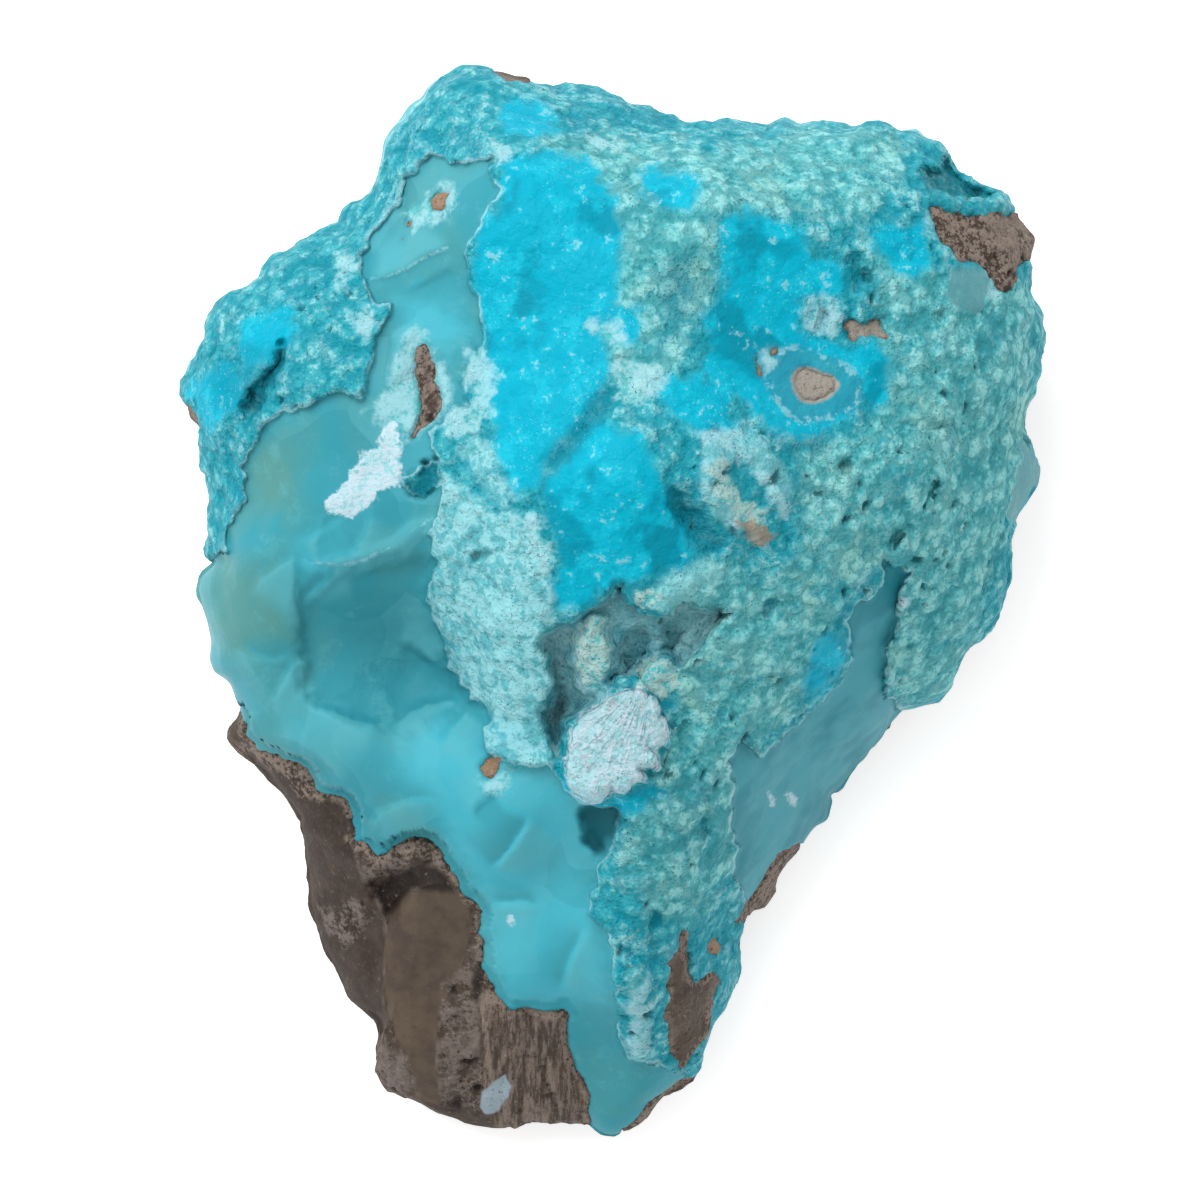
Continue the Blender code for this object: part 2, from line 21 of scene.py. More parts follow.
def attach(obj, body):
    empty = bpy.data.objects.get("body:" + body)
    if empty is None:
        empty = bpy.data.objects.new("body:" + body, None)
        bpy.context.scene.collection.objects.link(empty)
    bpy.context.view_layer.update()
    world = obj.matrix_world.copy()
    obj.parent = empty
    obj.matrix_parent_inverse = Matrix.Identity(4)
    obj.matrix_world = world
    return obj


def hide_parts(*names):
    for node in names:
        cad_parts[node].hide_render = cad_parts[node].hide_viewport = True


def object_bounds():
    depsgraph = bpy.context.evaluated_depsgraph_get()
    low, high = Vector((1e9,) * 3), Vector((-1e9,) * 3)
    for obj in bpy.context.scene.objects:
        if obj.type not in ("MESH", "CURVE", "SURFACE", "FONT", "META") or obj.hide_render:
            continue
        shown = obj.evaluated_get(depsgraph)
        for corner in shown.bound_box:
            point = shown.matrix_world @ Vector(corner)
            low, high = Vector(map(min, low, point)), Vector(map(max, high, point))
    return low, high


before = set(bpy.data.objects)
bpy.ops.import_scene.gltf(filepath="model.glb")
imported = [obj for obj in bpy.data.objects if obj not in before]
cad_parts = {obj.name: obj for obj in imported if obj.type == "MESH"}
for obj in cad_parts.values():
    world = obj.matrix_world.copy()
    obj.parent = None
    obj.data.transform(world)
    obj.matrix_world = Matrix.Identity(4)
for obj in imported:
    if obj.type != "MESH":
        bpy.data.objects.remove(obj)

cad_low, cad_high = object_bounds()
OUTLINE_PIXELS = (858, 1075)
MIDDLE = (614.0, 602.5)
PIXEL = math.sqrt(
    (cad_high.x - cad_low.x) / OUTLINE_PIXELS[0] * (cad_high.y - cad_low.y) / OUTLINE_PIXELS[1])
TALLEST_SPOT = 60.6
RISE = (cad_high.z - cad_low.z) / TALLEST_SPOT
PIXEL_IN_MM = 0.12
MM = PIXEL / PIXEL_IN_MM
print("one pixel is", round(PIXEL * 1000, 4), "mm")

# %% [markdown]
# ## The outline and the heights
#
# A specimen like this has no construction lines, only a silhouette and a surface that rises and
# falls. The silhouette is a closed line of corners, clockwise from the top left. The surface is
# pinned at about ninety spots, and a thin bent plate passes through all of them, just as a
# steel sheet would. It gives broad shapes with no creases, and the creases come afterwards.

# %% Outline of the stone
OUTLINE = [
    (425, 100), (427, 90), (436, 80), (446, 74), (460, 67), (480, 65), (488, 69), (500, 71),
    (510, 77), (528, 80), (534, 86), (560, 88), (566, 85), (580, 85), (604, 89), (612, 94),
    (622, 94), (628, 102), (652, 104), (660, 110), (672, 111), (684, 120), (690, 122),
    (712, 122), (725, 118), (740, 121), (760, 123), (768, 126), (784, 120), (800, 129),
    (824, 127), (850, 131), (862, 125), (876, 122), (888, 126), (900, 133), (918, 128),
    (924, 136), (938, 139), (952, 156), (962, 173), (980, 182), (1000, 188), (1012, 198),
    (1020, 216), (1032, 228), (1036, 237), (1033, 250), (1030, 265), (1032, 290), (1034, 302),
    (1040, 312), (1040, 345), (1036, 360), (1040, 370), (1033, 388), (1021, 408), (1021, 430),
    (1038, 452), (1043, 470), (1040, 484), (1030, 500), (1020, 512), (1012, 530), (1012, 560),
    (1011, 580), (1004, 592), (1000, 610), (980, 634), (966, 646), (961, 655), (957, 672),
    (948, 688), (936, 698), (920, 704), (905, 708), (898, 708), (890, 720), (880, 738),
    (868, 755), (858, 763), (850, 778), (843, 788), (832, 794), (830, 806), (826, 822),
    (815, 830), (808, 840), (800, 855), (790, 866), (781, 880), (775, 895), (765, 910),
    (750, 916), (744, 914), (745, 925), (742, 950), (740, 985), (733, 990), (728, 1010),
    (715, 1026), (709, 1045), (703, 1060), (702, 1075), (690, 1085), (675, 1092), (660, 1102),
    (648, 1118), (640, 1128), (630, 1135), (612, 1141), (600, 1138), (592, 1129), (560, 1128),
    (530, 1128), (500, 1131), (480, 1130), (465, 1128), (452, 1121), (435, 1118), (418, 1108),
    (402, 1100), (385, 1095), (376, 1082), (371, 1070), (376, 1055), (382, 1040), (382, 1025),
    (376, 1018), (360, 1010), (348, 1003), (343, 994), (340, 980), (334, 968), (325, 955),
    (318, 935), (312, 918), (309, 905), (308, 880), (305, 860), (302, 840), (300, 820),
    (290, 803), (280, 790), (266, 772), (252, 760), (240, 750), (227, 739), (228, 730),
    (238, 718), (240, 700), (232, 684), (226, 678), (213, 672), (208, 660), (210, 640),
    (206, 625), (200, 605), (197, 590), (200, 578), (212, 566), (216, 560), (207, 556),
    (209, 540), (209, 490), (206, 476), (200, 466), (201, 440), (200, 425), (191, 415),
    (189, 405), (184, 395), (186, 382), (192, 370), (199, 358), (202, 345), (207, 335),
    (206, 325), (212, 308), (220, 295), (240, 289), (250, 287), (262, 277), (266, 265),
    (275, 257), (288, 251), (300, 242), (308, 240), (320, 231), (330, 229), (340, 224),
    (341, 213), (350, 201), (360, 200), (370, 192), (378, 180), (385, 160), (388, 145),
    (396, 133), (404, 124), (412, 111),
]

# %% Spot heights
SPOT_HEIGHTS = [
    # along the outline
    (460, 67, 31), (560, 86, 31), (684, 120, 31), (800, 129, 31), (918, 128, 30),
    (1000, 190, 29), (1036, 240, 29), (1040, 340, 28), (1025, 430, 27), (1012, 545, 25),
    (960, 660, 22), (880, 738, 18), (826, 815, 15), (775, 895, 14), (740, 960, 13),
    (703, 1060, 14), (612, 1141, 12), (592, 1129, 12), (465, 1128, 12), (371, 1070, 12),
    (334, 968, 13), (305, 850, 16), (227, 739, 23), (200, 600, 27), (209, 510, 28),
    (184, 395, 28), (212, 308, 29), (300, 242, 30), (378, 180, 31), (412, 111, 31),
    # upper band and the bright blue face below it
    (500, 165, 46), (700, 170, 45), (870, 200, 41), (450, 250, 45), (560, 300, 52),
    (620, 400, 57), (620, 480, 60), (590, 560, 57), (540, 400, 53),
    # right face, with the eye
    (760, 300, 49), (812, 386, 48), (740, 450, 55), (900, 300, 42), (960, 300, 39),
    (1000, 400, 34), (900, 480, 45), (800, 560, 50), (700, 560, 55), (980, 600, 27),
    (930, 570, 36), (850, 610, 43), (780, 660, 46), (700, 700, 48), (740, 800, 38),
    # slot down the right
    (860, 690, 31), (800, 780, 26), (870, 620, 38),
    # left lobe and the smooth ground
    (430, 400, 47), (380, 480, 46), (300, 430, 42), (250, 380, 37), (300, 300, 38),
    (250, 560, 38), (330, 560, 42), (250, 660, 33),
    # hollow, its lip and the tongue
    (400, 630, 36), (440, 680, 34), (340, 650, 35), (340, 750, 35), (420, 780, 37),
    (500, 830, 39), (550, 870, 34), (540, 960, 29), (600, 1050, 19),
    # peninsula, knob, spine and tip
    (470, 600, 46), (495, 660, 45), (530, 740, 42), (620, 740, 47), (650, 870, 38),
    (700, 900, 31), (640, 1000, 29), (700, 1000, 20), (640, 1090, 17),
    # top of the brown flank
    (350, 820, 28), (440, 850, 31), (484, 950, 27), (500, 1005, 24), (563, 1012, 23),
]

# %% Distances and the bent plate
FAR = 4.0


def to_stone(pixels):
    """Turns photograph pixels into metres on the stone's own X and Y."""
    offset = (np.asarray(pixels, dtype=float) - np.array(MIDDLE)) * PIXEL
    return offset * np.array([1.0, -1.0])


def foot_on(points, start, end):
    """Nearest points on one straight edge, and how far along it they are."""
    edge = end - start
    along = np.clip((points - start) @ edge / (edge @ edge), 0.0, 1.0)
    return start + along[:, None] * edge, along


def depth_in(points, outline):
    """Millimetres inside a closed outline, below 0 outside it, and never below -FAR."""
    corners = to_stone(outline)
    margin = FAR * MM
    near = np.all((points > corners.min(0) - margin) & (points < corners.max(0) + margin), 1)
    depth = np.full(len(points), -FAR)
    spots = points[near]
    best = np.full(len(spots), 1.0)
    inside = np.zeros(len(spots), dtype=bool)
    for start, end in zip(corners, np.roll(corners, -1, axis=0)):
        foot, _ = foot_on(spots, start, end)
        best = np.minimum(best, np.linalg.norm(spots - foot, axis=1))
        crosses = (start[1] > spots[:, 1]) != (end[1] > spots[:, 1])
        climb = (end[1] - start[1]) or 1.0
        meet = start[0] + (spots[:, 1] - start[1]) / climb * (end[0] - start[0])
        inside ^= crosses & (spots[:, 0] < meet)
    depth[near] = np.maximum(np.where(inside, best, -best) / MM, -FAR)
    return depth


def depth_in_any(points, outlines):
    """Millimetres inside the nearest of several outlines."""
    return np.max([depth_in(points, outline) for outline in outlines], axis=0)


def smooth_step(values):
    """Eases from 0 to 1 as the values go from 0 to 1."""
    values = np.clip(values, 0.0, 1.0)
    return values * values * (3.0 - 2.0 * values)


def bend_kernel(distance):
    """The radial function of a thin bent plate."""
    safe = np.maximum(distance, 1e-9)
    return safe * safe * np.log(safe)


def fit_plate(spots):
    """Finds the thin plate that passes through spots of (pixel, pixel, millimetres)."""
    spots = np.asarray(spots, dtype=float)
    feet = to_stone(spots[:, :2])
    count = len(feet)
    apart = np.linalg.norm(feet[:, None] - feet[None], axis=2)
    flat = np.hstack([np.ones((count, 1)), feet])
    system = np.block([[bend_kernel(apart), flat], [flat.T, np.zeros((3, 3))]])
    wanted = np.concatenate([spots[:, 2] * RISE, np.zeros(3)])
    return feet, np.linalg.solve(system, wanted)


PLATE_FEET, PLATE_WEIGHTS = fit_plate(SPOT_HEIGHTS)


def plate_height(points):
    """Height of the smooth plate through the named spots."""
    count = len(PLATE_FEET)
    bent = np.zeros(len(points))
    for foot, weight in zip(PLATE_FEET, PLATE_WEIGHTS):
        bent += bend_kernel(np.linalg.norm(points - foot, axis=1)) * weight
    return bent + PLATE_WEIGHTS[count] + points @ PLATE_WEIGHTS[count + 1:]


print(len(OUTLINE), "corners and", len(SPOT_HEIGHTS), "spot heights")

# %% [markdown]
# ## The ledges
#
# Where a piece of the crust broke off, the old skin ends at a ragged step of one to three
# millimetres. Each step is the outline of a sunk or raised place with the millimetres that it
# drops or climbs. A signed distance to the outline serves twice: it lifts the surface, and later
# it tells the finish on which side it is. Seeded noise is added to the distance first, so that
# the step and the colour are ragged in the same way.

# %% Outlines of the broken ground
SMOOTH_GROUND = [
    (495, 157), (490, 159), (468, 160), (452, 164), (440, 158), (432, 156), (424, 160),
    (415, 170), (404, 182), (400, 200), (382, 218), (372, 232), (366, 246), (362, 256),
    (362, 270), (365, 285), (370, 298), (380, 303), (392, 302), (390, 316), (380, 326),
    (376, 345), (372, 360), (368, 378), (366, 390), (360, 398), (345, 390), (320, 400),
    (305, 408), (290, 410), (275, 418), (262, 430), (255, 440), (245, 458), (242, 470),
    (243, 480), (247, 500), (240, 510), (232, 520), (227, 535), (225, 552), (212, 560),
    (120, 620), (120, 900), (400, 1250), (700, 1250), (700, 1100), (685, 1078), (665, 1070),
    (645, 1062), (628, 1060), (620, 1045), (618, 1020), (616, 995), (617, 975), (614, 955),
    (608, 935), (603, 922), (590, 912), (592, 892), (600, 880), (603, 860), (620, 835),
    (612, 810), (590, 810), (578, 803), (565, 790), (556, 770), (545, 765), (530, 768),
    (508, 765), (500, 757), (490, 752), (484, 742), (485, 728), (492, 718), (487, 707),
    (478, 703), (468, 702), (466, 690), (458, 680), (450, 665), (446, 650), (440, 630),
    (433, 615), (428, 600), (431, 577), (438, 562), (436, 550), (430, 530), (440, 500),
    (445, 482), (436, 492), (425, 500), (412, 497), (402, 485), (402, 478), (414, 474),
    (424, 462), (436, 460), (432, 432), (440, 425), (450, 412), (455, 405), (470, 408),
    (464, 395), (464, 380), (468, 368), (476, 358), (477, 350), (482, 340), (483, 330),
    (482, 312), (478, 300), (470, 290), (468, 275), (468, 255), (475, 235), (483, 220),
    (490, 205), (498, 198), (503, 190), (497, 187), (492, 180), (493, 170),
]
SLOT = [
    (885, 563), (880, 580), (870, 597), (858, 602), (850, 612), (848, 625), (850, 640),
    (850, 660), (842, 670), (838, 685), (828, 700), (815, 712), (800, 721), (790, 730),
    (775, 745), (762, 756), (752, 752), (740, 738), (728, 760), (735, 800), (730, 830),
    (740, 850), (735, 880), (745, 905), (800, 990), (980, 760), (898, 708), (890, 697),
    (886, 680), (886, 655), (890, 640), (896, 620), (898, 600), (903, 590), (910, 573),
    (900, 570),
]
PENINSULA = [
    (445, 482), (440, 500), (430, 530), (436, 550), (438, 562), (431, 577), (428, 600),
    (433, 615), (440, 630), (446, 650), (450, 665), (458, 680), (466, 690), (468, 702),
    (478, 703), (487, 707), (492, 718), (485, 728), (484, 742), (490, 752), (500, 757),
    (508, 765), (530, 768), (545, 765), (553, 770), (555, 755), (553, 742), (549, 735),
    (549, 725), (543, 715), (549, 705), (550, 695), (557, 685), (558, 675), (550, 662),
    (546, 650), (542, 643), (555, 600), (520, 540), (490, 500),
]
HOLLOW = [
    (300, 605), (315, 590), (330, 575), (345, 569), (360, 566), (400, 560), (438, 562),
    (431, 577), (428, 600), (433, 615), (440, 630), (446, 650), (450, 665), (458, 680),
    (466, 690), (468, 704), (455, 700), (430, 702), (412, 710), (400, 720), (385, 724),
    (362, 722), (338, 713), (325, 708), (312, 700), (302, 690), (304, 650),
]
CAVITY = [
    (542, 643), (555, 628), (570, 626), (585, 610), (600, 600), (620, 584), (628, 598),
    (640, 612), (655, 617), (672, 617), (677, 608), (690, 605), (703, 610), (720, 608),
    (728, 612), (715, 630), (700, 645), (690, 655), (679, 662), (668, 655), (658, 658),
    (652, 665), (640, 678), (622, 680), (605, 693), (598, 705), (590, 710), (580, 710),
    (567, 722), (560, 735), (558, 755), (543, 715), (549, 700), (558, 680), (550, 662),
]
CAVITY_COLUMN = [
    (580, 622), (590, 614), (602, 612), (610, 628), (614, 650), (610, 672), (612, 690),
    (598, 700), (588, 704), (576, 690), (573, 665), (576, 640),
]
# pockets sunk into the crust, which also get painted shade
SHADED_POCKETS = [
    [(622, 632), (640, 626), (656, 634), (652, 652), (640, 668), (626, 672), (618, 655)],
    [(662, 630), (680, 622), (692, 628), (684, 646), (672, 652), (662, 646)],
    [(548, 668), (556, 662), (566, 690), (562, 715), (552, 722), (556, 690)],
    [(404, 480), (416, 474), (426, 464), (438, 462), (443, 480), (434, 490), (424, 498),
     (412, 495)],
]
WHITE_KNOB = [
    (568, 750), (572, 730), (580, 712), (609, 695), (640, 690), (655, 700), (662, 715),
    (672, 725), (685, 722), (672, 738), (650, 748), (657, 755), (657, 765), (640, 770),
    (648, 780), (633, 785), (630, 793), (612, 790), (600, 802), (590, 800), (575, 792),
    (568, 775),
]
POCKET = [(582, 808), (616, 806), (620, 822), (616, 838), (604, 850), (596, 862), (588, 840)]
LOBE_CAVITY = [
    (282, 345), (290, 365), (283, 380), (276, 395), (262, 412), (245, 420), (240, 408),
    (252, 395), (260, 380), (272, 370), (277, 355),
]
CORNER_RECESS = [
    (920, 172), (928, 168), (940, 168), (945, 150), (960, 175), (985, 188), (1000, 192),
    (985, 200), (965, 208), (948, 200), (930, 195), (920, 182),
]
EYE_RECESS = [
    (845, 326), (850, 321), (860, 324), (870, 322), (880, 320), (883, 330), (888, 340),
    (870, 338), (850, 340),
]
PILLAR = [
    (622, 960), (645, 962), (648, 985), (650, 1010), (648, 1040), (643, 1058), (630, 1060),
    (622, 1050), (620, 1030), (618, 1000), (616, 975),
]
SHELF_HOLLOW = [(368, 884), (392, 872), (415, 866), (422, 880), (402, 905), (388, 922), (374, 900)]
RIGHT_PITS = [
    [(836, 466), (842, 460), (852, 466), (856, 470), (848, 474), (840, 473)],
    [(918, 508), (924, 496), (932, 484), (938, 478), (940, 486), (930, 498), (924, 510)],
    [(892, 540), (896, 531), (901, 538), (896, 546)],
    [(936, 314), (942, 312), (944, 318), (940, 323)],
    [(472, 556), (480, 550), (488, 552), (486, 558), (476, 560)],
]

# %% Millimetres that each outline drops or climbs, and how wide its step is
RELIEF = [
    (SMOOTH_GROUND, -1.4, 0.55), (SLOT, -2.2, 0.7), (PENINSULA, 1.0, 1.4), (HOLLOW, -1.6, 3.0),
    (CAVITY, -5.0, 1.4), (CAVITY_COLUMN, 3.5, 2.2), (WHITE_KNOB, 3.0, 1.6), (POCKET, -3.6, 1.3),
    (LOBE_CAVITY, -2.6, 1.3), (CORNER_RECESS, -3.0, 1.2), (EYE_RECESS, -1.0, 0.8),
    (PILLAR, 1.8, 1.2), (SHELF_HOLLOW, -3.0, 1.6),
]
RELIEF += [(pocket, -1.8, 1.1) for pocket in SHADED_POCKETS]
RELIEF += [(pit, -1.3, 0.8) for pit in RIGHT_PITS]
print(len(RELIEF), "ledges")

# %% [markdown]
# Inside the broken ground the surface has finer lines: shell-shaped cracks that end in low
# steps, a crusted vein and the folds of the vivid dome. They are open lines. A step lifts the
# side on its left and dies away from the line, and a ridge or a valley is a rounded bulge.

# %% Lines of the broken ground
STEP_LINES = [
    # pixels, millimetres, reach in millimetres
    ([(302, 650), (302, 620), (297, 600), (296, 580), (298, 545)], 0.7, 2.5),
    ([(350, 517), (340, 520), (325, 530), (310, 540), (297, 548)], 0.6, 3.0),
    ([(355, 560), (358, 545), (366, 530), (368, 510)], -0.6, 2.5),
    ([(360, 566), (345, 569), (330, 575), (315, 590), (300, 605)], 0.8, 3.0),
    ([(395, 645), (412, 645), (420, 655), (430, 662), (438, 670)], 1.2, 2.5),
    ([(302, 700), (312, 700), (325, 708), (338, 713), (362, 722), (385, 724)], -0.8, 3.0),
    ([(385, 724), (400, 720), (412, 710), (430, 702), (455, 700), (468, 704)], -1.0, 3.0),
    ([(468, 706), (462, 718), (452, 728), (445, 740), (435, 748)], 0.9, 3.0),
    ([(260, 700), (275, 695), (283, 680), (292, 665), (300, 657), (318, 670)], -0.8, 2.5),
    ([(532, 812), (520, 835), (510, 850), (500, 860), (490, 875)], 1.2, 4.0),
    ([(470, 820), (480, 805), (490, 795), (500, 790)], 0.8, 3.0),
    ([(545, 908), (520, 904), (484, 906)], 0.7, 3.5),
    ([(406, 300), (420, 285), (440, 278), (462, 262)], 0.7, 3.0),
    ([(362, 280), (385, 278), (405, 270), (425, 258), (445, 250), (460, 246)], 0.9, 3.0),
    ([(228, 640), (250, 655), (275, 660), (300, 652)], -0.6, 3.0),
    ([(245, 600), (262, 575), (290, 560), (298, 545)], -0.5, 3.0),
    ([(345, 800), (330, 770), (300, 745), (262, 735)], -0.5, 3.0),
    ([(360, 840), (380, 812), (410, 800), (450, 800)], -0.6, 3.0),
    ([(380, 326), (395, 345), (392, 372), (380, 395)], 0.5, 2.5),
    ([(330, 515), (318, 545), (330, 575)], -0.5, 2.0),
    ([(560, 1000), (572, 960), (590, 920)], -0.8, 3.0),
    ([(442, 552), (462, 560), (484, 574), (506, 586), (532, 602)], 0.6, 1.5),
    ([(436, 604), (452, 612), (470, 626), (480, 640)], 0.5, 1.2),
    ([(460, 655), (480, 660), (505, 664), (530, 655)], 0.5, 1.2),
    ([(470, 560), (464, 540), (480, 530), (494, 536)], 0.6, 1.2),
    ([(490, 700), (510, 696), (530, 702), (545, 712)], 0.5, 1.2),
    ([(505, 520), (530, 514), (550, 534), (556, 565), (552, 590)], -0.7, 1.6),
    ([(640, 372), (664, 384), (676, 404), (700, 412)], 0.6, 1.5),
    ([(735, 398), (752, 412), (762, 436)], 0.7, 1.5),
    ([(640, 640), (664, 660), (690, 668), (720, 700)], 0.6, 2.0),
    ([(700, 770), (690, 800), (696, 840), (684, 880)], 0.6, 2.0),
    ([(640, 850), (632, 880), (640, 910)], 0.6, 1.5),
]
RIDGE_LINES = [
    # pixels, millimetres, half width in millimetres
    ([(297, 565), (320, 563), (345, 565), (365, 560), (380, 552), (400, 545), (415, 530),
      (430, 520), (445, 510)], 0.7, 1.0),
    ([(625, 365), (600, 405), (575, 440), (548, 470), (543, 500)], -1.2, 1.7),
    ([(690, 250), (680, 300), (668, 345), (640, 375)], -0.6, 2.2),
    ([(700, 430), (716, 460), (712, 495), (740, 525), (768, 545)], 1.4, 1.6),
    ([(730, 420), (750, 450), (775, 480), (782, 520)], 1.0, 1.6),
    ([(668, 480), (688, 510), (706, 540), (720, 570)], -1.8, 1.6),
    ([(640, 600), (680, 590), (700, 570), (740, 560)], 1.0, 2.0),
    ([(735, 395), (752, 400), (768, 420), (800, 436), (840, 436)], 1.0, 1.2),
    ([(362, 256), (372, 240), (385, 222), (402, 205)], 0.6, 0.8),
    ([(420, 325), (405, 340), (398, 355), (395, 375), (388, 392)], 0.9, 1.0),
    ([(448, 380), (446, 405), (438, 425)], 0.8, 0.9),
    ([(672, 950), (675, 960), (680, 985), (688, 1000), (690, 1020), (687, 1060)], 1.2, 1.0),
    ([(474, 962), (476, 980), (482, 1000)], -2.0, 0.6),
    ([(664, 482), (676, 500), (690, 520), (700, 545), (716, 572)], -1.3, 0.6),
    ([(704, 436), (716, 432), (726, 440), (736, 436)], -1.0, 0.5),
    ([(742, 528), (752, 545), (758, 560)], -0.9, 0.5),
    ([(660, 735), (668, 750), (662, 770)], -0.9, 0.5),
    ([(700, 780), (706, 800), (702, 825), (708, 850)], -0.9, 0.6),
    ([(640, 900), (655, 915), (650, 940), (662, 960)], -0.9, 0.6),
    ([(760, 620), (772, 606), (778, 596)], -1.1, 0.6),
    ([(800, 655), (812, 668), (806, 690)], -0.7, 0.6),
    ([(850, 560), (870, 548), (884, 560)], -0.7, 0.6),
    ([(905, 420), (925, 430), (950, 424), (962, 440)], -0.7, 0.6),
    ([(955, 480), (960, 510), (950, 540)], -0.7, 0.8),
    ([(560, 100), (600, 112), (640, 125)], -0.5, 0.8),
    ([(480, 100), (520, 115), (560, 118)], -0.5, 0.8),
    ([(700, 150), (740, 160), (790, 150)], -0.5, 0.8),
    ([(258, 290), (290, 280), (320, 262), (345, 255)], -0.6, 0.9),
    ([(400, 130), (430, 140), (470, 138)], -0.5, 0.8),
    ([(850, 250), (862, 270), (856, 300)], -0.8, 0.6),
    ([(905, 235), (915, 250), (908, 268)], -0.7, 0.6),
]


def across(points, line):
    """Millimetres to an open line, on which side of it, and how near its middle."""
    corners = to_stone(line)
    margin = 3.0 * FAR * MM
    close = np.all((points > corners.min(0) - margin) & (points < corners.max(0) + margin), 1)
    spots = points[close]
    lengths = np.linalg.norm(np.diff(corners, axis=0), axis=1)
    whole = lengths.sum()
    best = np.full(len(spots), 1.0)
    side = np.zeros(len(spots))
    run = np.zeros(len(spots))
    behind = 0.0
    for start, end, length in zip(corners[:-1], corners[1:], lengths):
        foot, along = foot_on(spots, start, end)
        distance = np.linalg.norm(spots - foot, axis=1)
        closer = distance < best
        edge, off = end - start, spots - start
        turn = np.sign(edge[0] * off[:, 1] - edge[1] * off[:, 0])
        best = np.where(closer, distance, best)
        side = np.where(closer, turn, side)
        run = np.where(closer, behind + along * length, run)
        behind += length
    share = smooth_step(np.minimum(run, whole - run) / (0.3 * whole))
    results = np.zeros((3, len(points)))
    results[0] = 1000.0
    results[:, close] = best / MM, side, share
    return results


def nearest_line(points, lines):
    """Millimetres to the nearest of some open lines."""
    spans = []
    for line, _, _ in lines:
        distance, _, share = across(points, line)
        spans.append(np.where(share > 0.15, distance, FAR))
    return np.minimum(np.min(spans, axis=0), FAR)


def lined_height(points, wander):
    """Rise in millimetres of all the open lines."""
    height = np.zeros(len(points))
    for line, rise, reach in STEP_LINES:
        distance, side, share = across(points, line)
        offset = distance * side + wander
        fade = np.exp(-np.abs(offset) / reach) * share
        height += rise * np.clip(offset / 0.5, -1.0, 1.0) * 0.5 * fade
    for line, rise, reach in RIDGE_LINES:
        distance, _, share = across(points, line)
        height += rise * np.exp(-((distance + wander) / reach) ** 2) * share
    return height


print(len(STEP_LINES), "steps and", len(RIDGE_LINES), "ridge_light_and_shade")

# %% [markdown]
# ## Bare rock
#
# The crust never covered the whole lump. The rock shows on the lower left flank, at the top
# right corner, in small windows and at the eye, where the crust grew in rings round a core.
# The flank broke along flat planes, and three spots fix each plane.

# %% Where the rock is bare
BROWN_FLANK = [
    (200, 700), (240, 712), (243, 725), (242, 735), (250, 743), (260, 751), (275, 755),
    (283, 760), (298, 763), (307, 771), (312, 785), (320, 794), (332, 795), (347, 799),
    (353, 810), (354, 825), (352, 840), (360, 843), (370, 848), (378, 855), (388, 852),
    (396, 845), (408, 840), (420, 838), (432, 842), (440, 850), (446, 863), (455, 875),
    (462, 890), (468, 898), (478, 903), (484, 912), (481, 920), (481, 935), (484, 950),
    (485, 962), (483, 970), (490, 982), (500, 1000), (510, 1012), (520, 1009), (530, 1009),
    (545, 1013), (560, 1013), (563, 1008), (569, 1018), (570, 1035), (573, 1055), (577, 1072),
    (585, 1085), (590, 1100), (591, 1128), (600, 1250), (120, 1250), (120, 700),
]
BARE_CORNER = [
    (930, 206), (940, 204), (955, 208), (970, 216), (985, 212), (1000, 206), (1010, 208),
    (1060, 200), (1060, 262), (1028, 265), (1018, 265), (1020, 278), (1012, 290),
    (1002, 290), (992, 280), (985, 268), (970, 263), (957, 265), (950, 258), (942, 245),
    (935, 232), (930, 215),
]
BARE_WINDOW = [
    (425, 341), (432, 350), (436, 362), (440, 378), (445, 395), (445, 408), (438, 420),
    (425, 430), (415, 440), (410, 440), (415, 425), (422, 410), (422, 398), (417, 388),
    (415, 370), (413, 352), (418, 345),
]
BARE_SPECKS = [
    [(445, 190), (452, 192), (450, 202), (443, 210), (432, 210), (430, 200), (437, 192)],
    [(405, 219), (413, 221), (412, 228), (406, 226)],
    [(401, 236), (405, 237), (404, 246), (401, 245)],
    [(477, 768), (484, 758), (492, 753), (503, 759), (501, 768), (494, 779), (484, 777)],
    [(707, 944), (716, 942), (722, 950), (717, 957), (709, 955)],
    [(817, 322), (820, 312), (826, 311), (829, 318), (826, 328), (821, 332)],
    [(750, 356), (756, 357), (760, 366), (762, 378), (758, 379), (753, 368)],
    [(768, 350), (774, 347), (778, 352), (774, 358), (769, 356)],
]
BARE_RIGHT = [
    (738, 915), (745, 908), (755, 895), (765, 880), (772, 865), (778, 855), (790, 848),
    (798, 846), (840, 860), (800, 960), (735, 925),
]
BARE_SHARD = [
    (684, 932), (687, 945), (690, 960), (694, 985), (705, 978), (717, 975), (723, 982),
    (715, 1000), (711, 1020), (708, 1040), (695, 1055), (690, 1068), (683, 1076), (673, 1072),
    (668, 1055), (664, 1030), (665, 1000), (666, 965), (672, 950),
]
BARE_TIP = [(712, 1078), (720, 1120), (650, 1180), (618, 1137), (636, 1122), (650, 1106), (684, 1084)]
BARE_EDGES = [
    [(488, 60), (534, 60), (532, 84), (510, 80), (492, 72)],
    [(170, 400), (190, 402), (202, 425), (196, 430), (175, 430)],
    [(1022, 420), (1060, 420), (1060, 500), (1046, 480), (1042, 460), (1032, 444)],
]
EYE = (812, 386)
EYE_RADII = (20, 17)


def wobble(turns):
    """Share by which the eye's outline leaves a plain ellipse."""
    return 1.0 + 0.10 * np.sin(2.0 * turns + 0.8) + 0.08 * np.sin(3.0 * turns + 2.0)


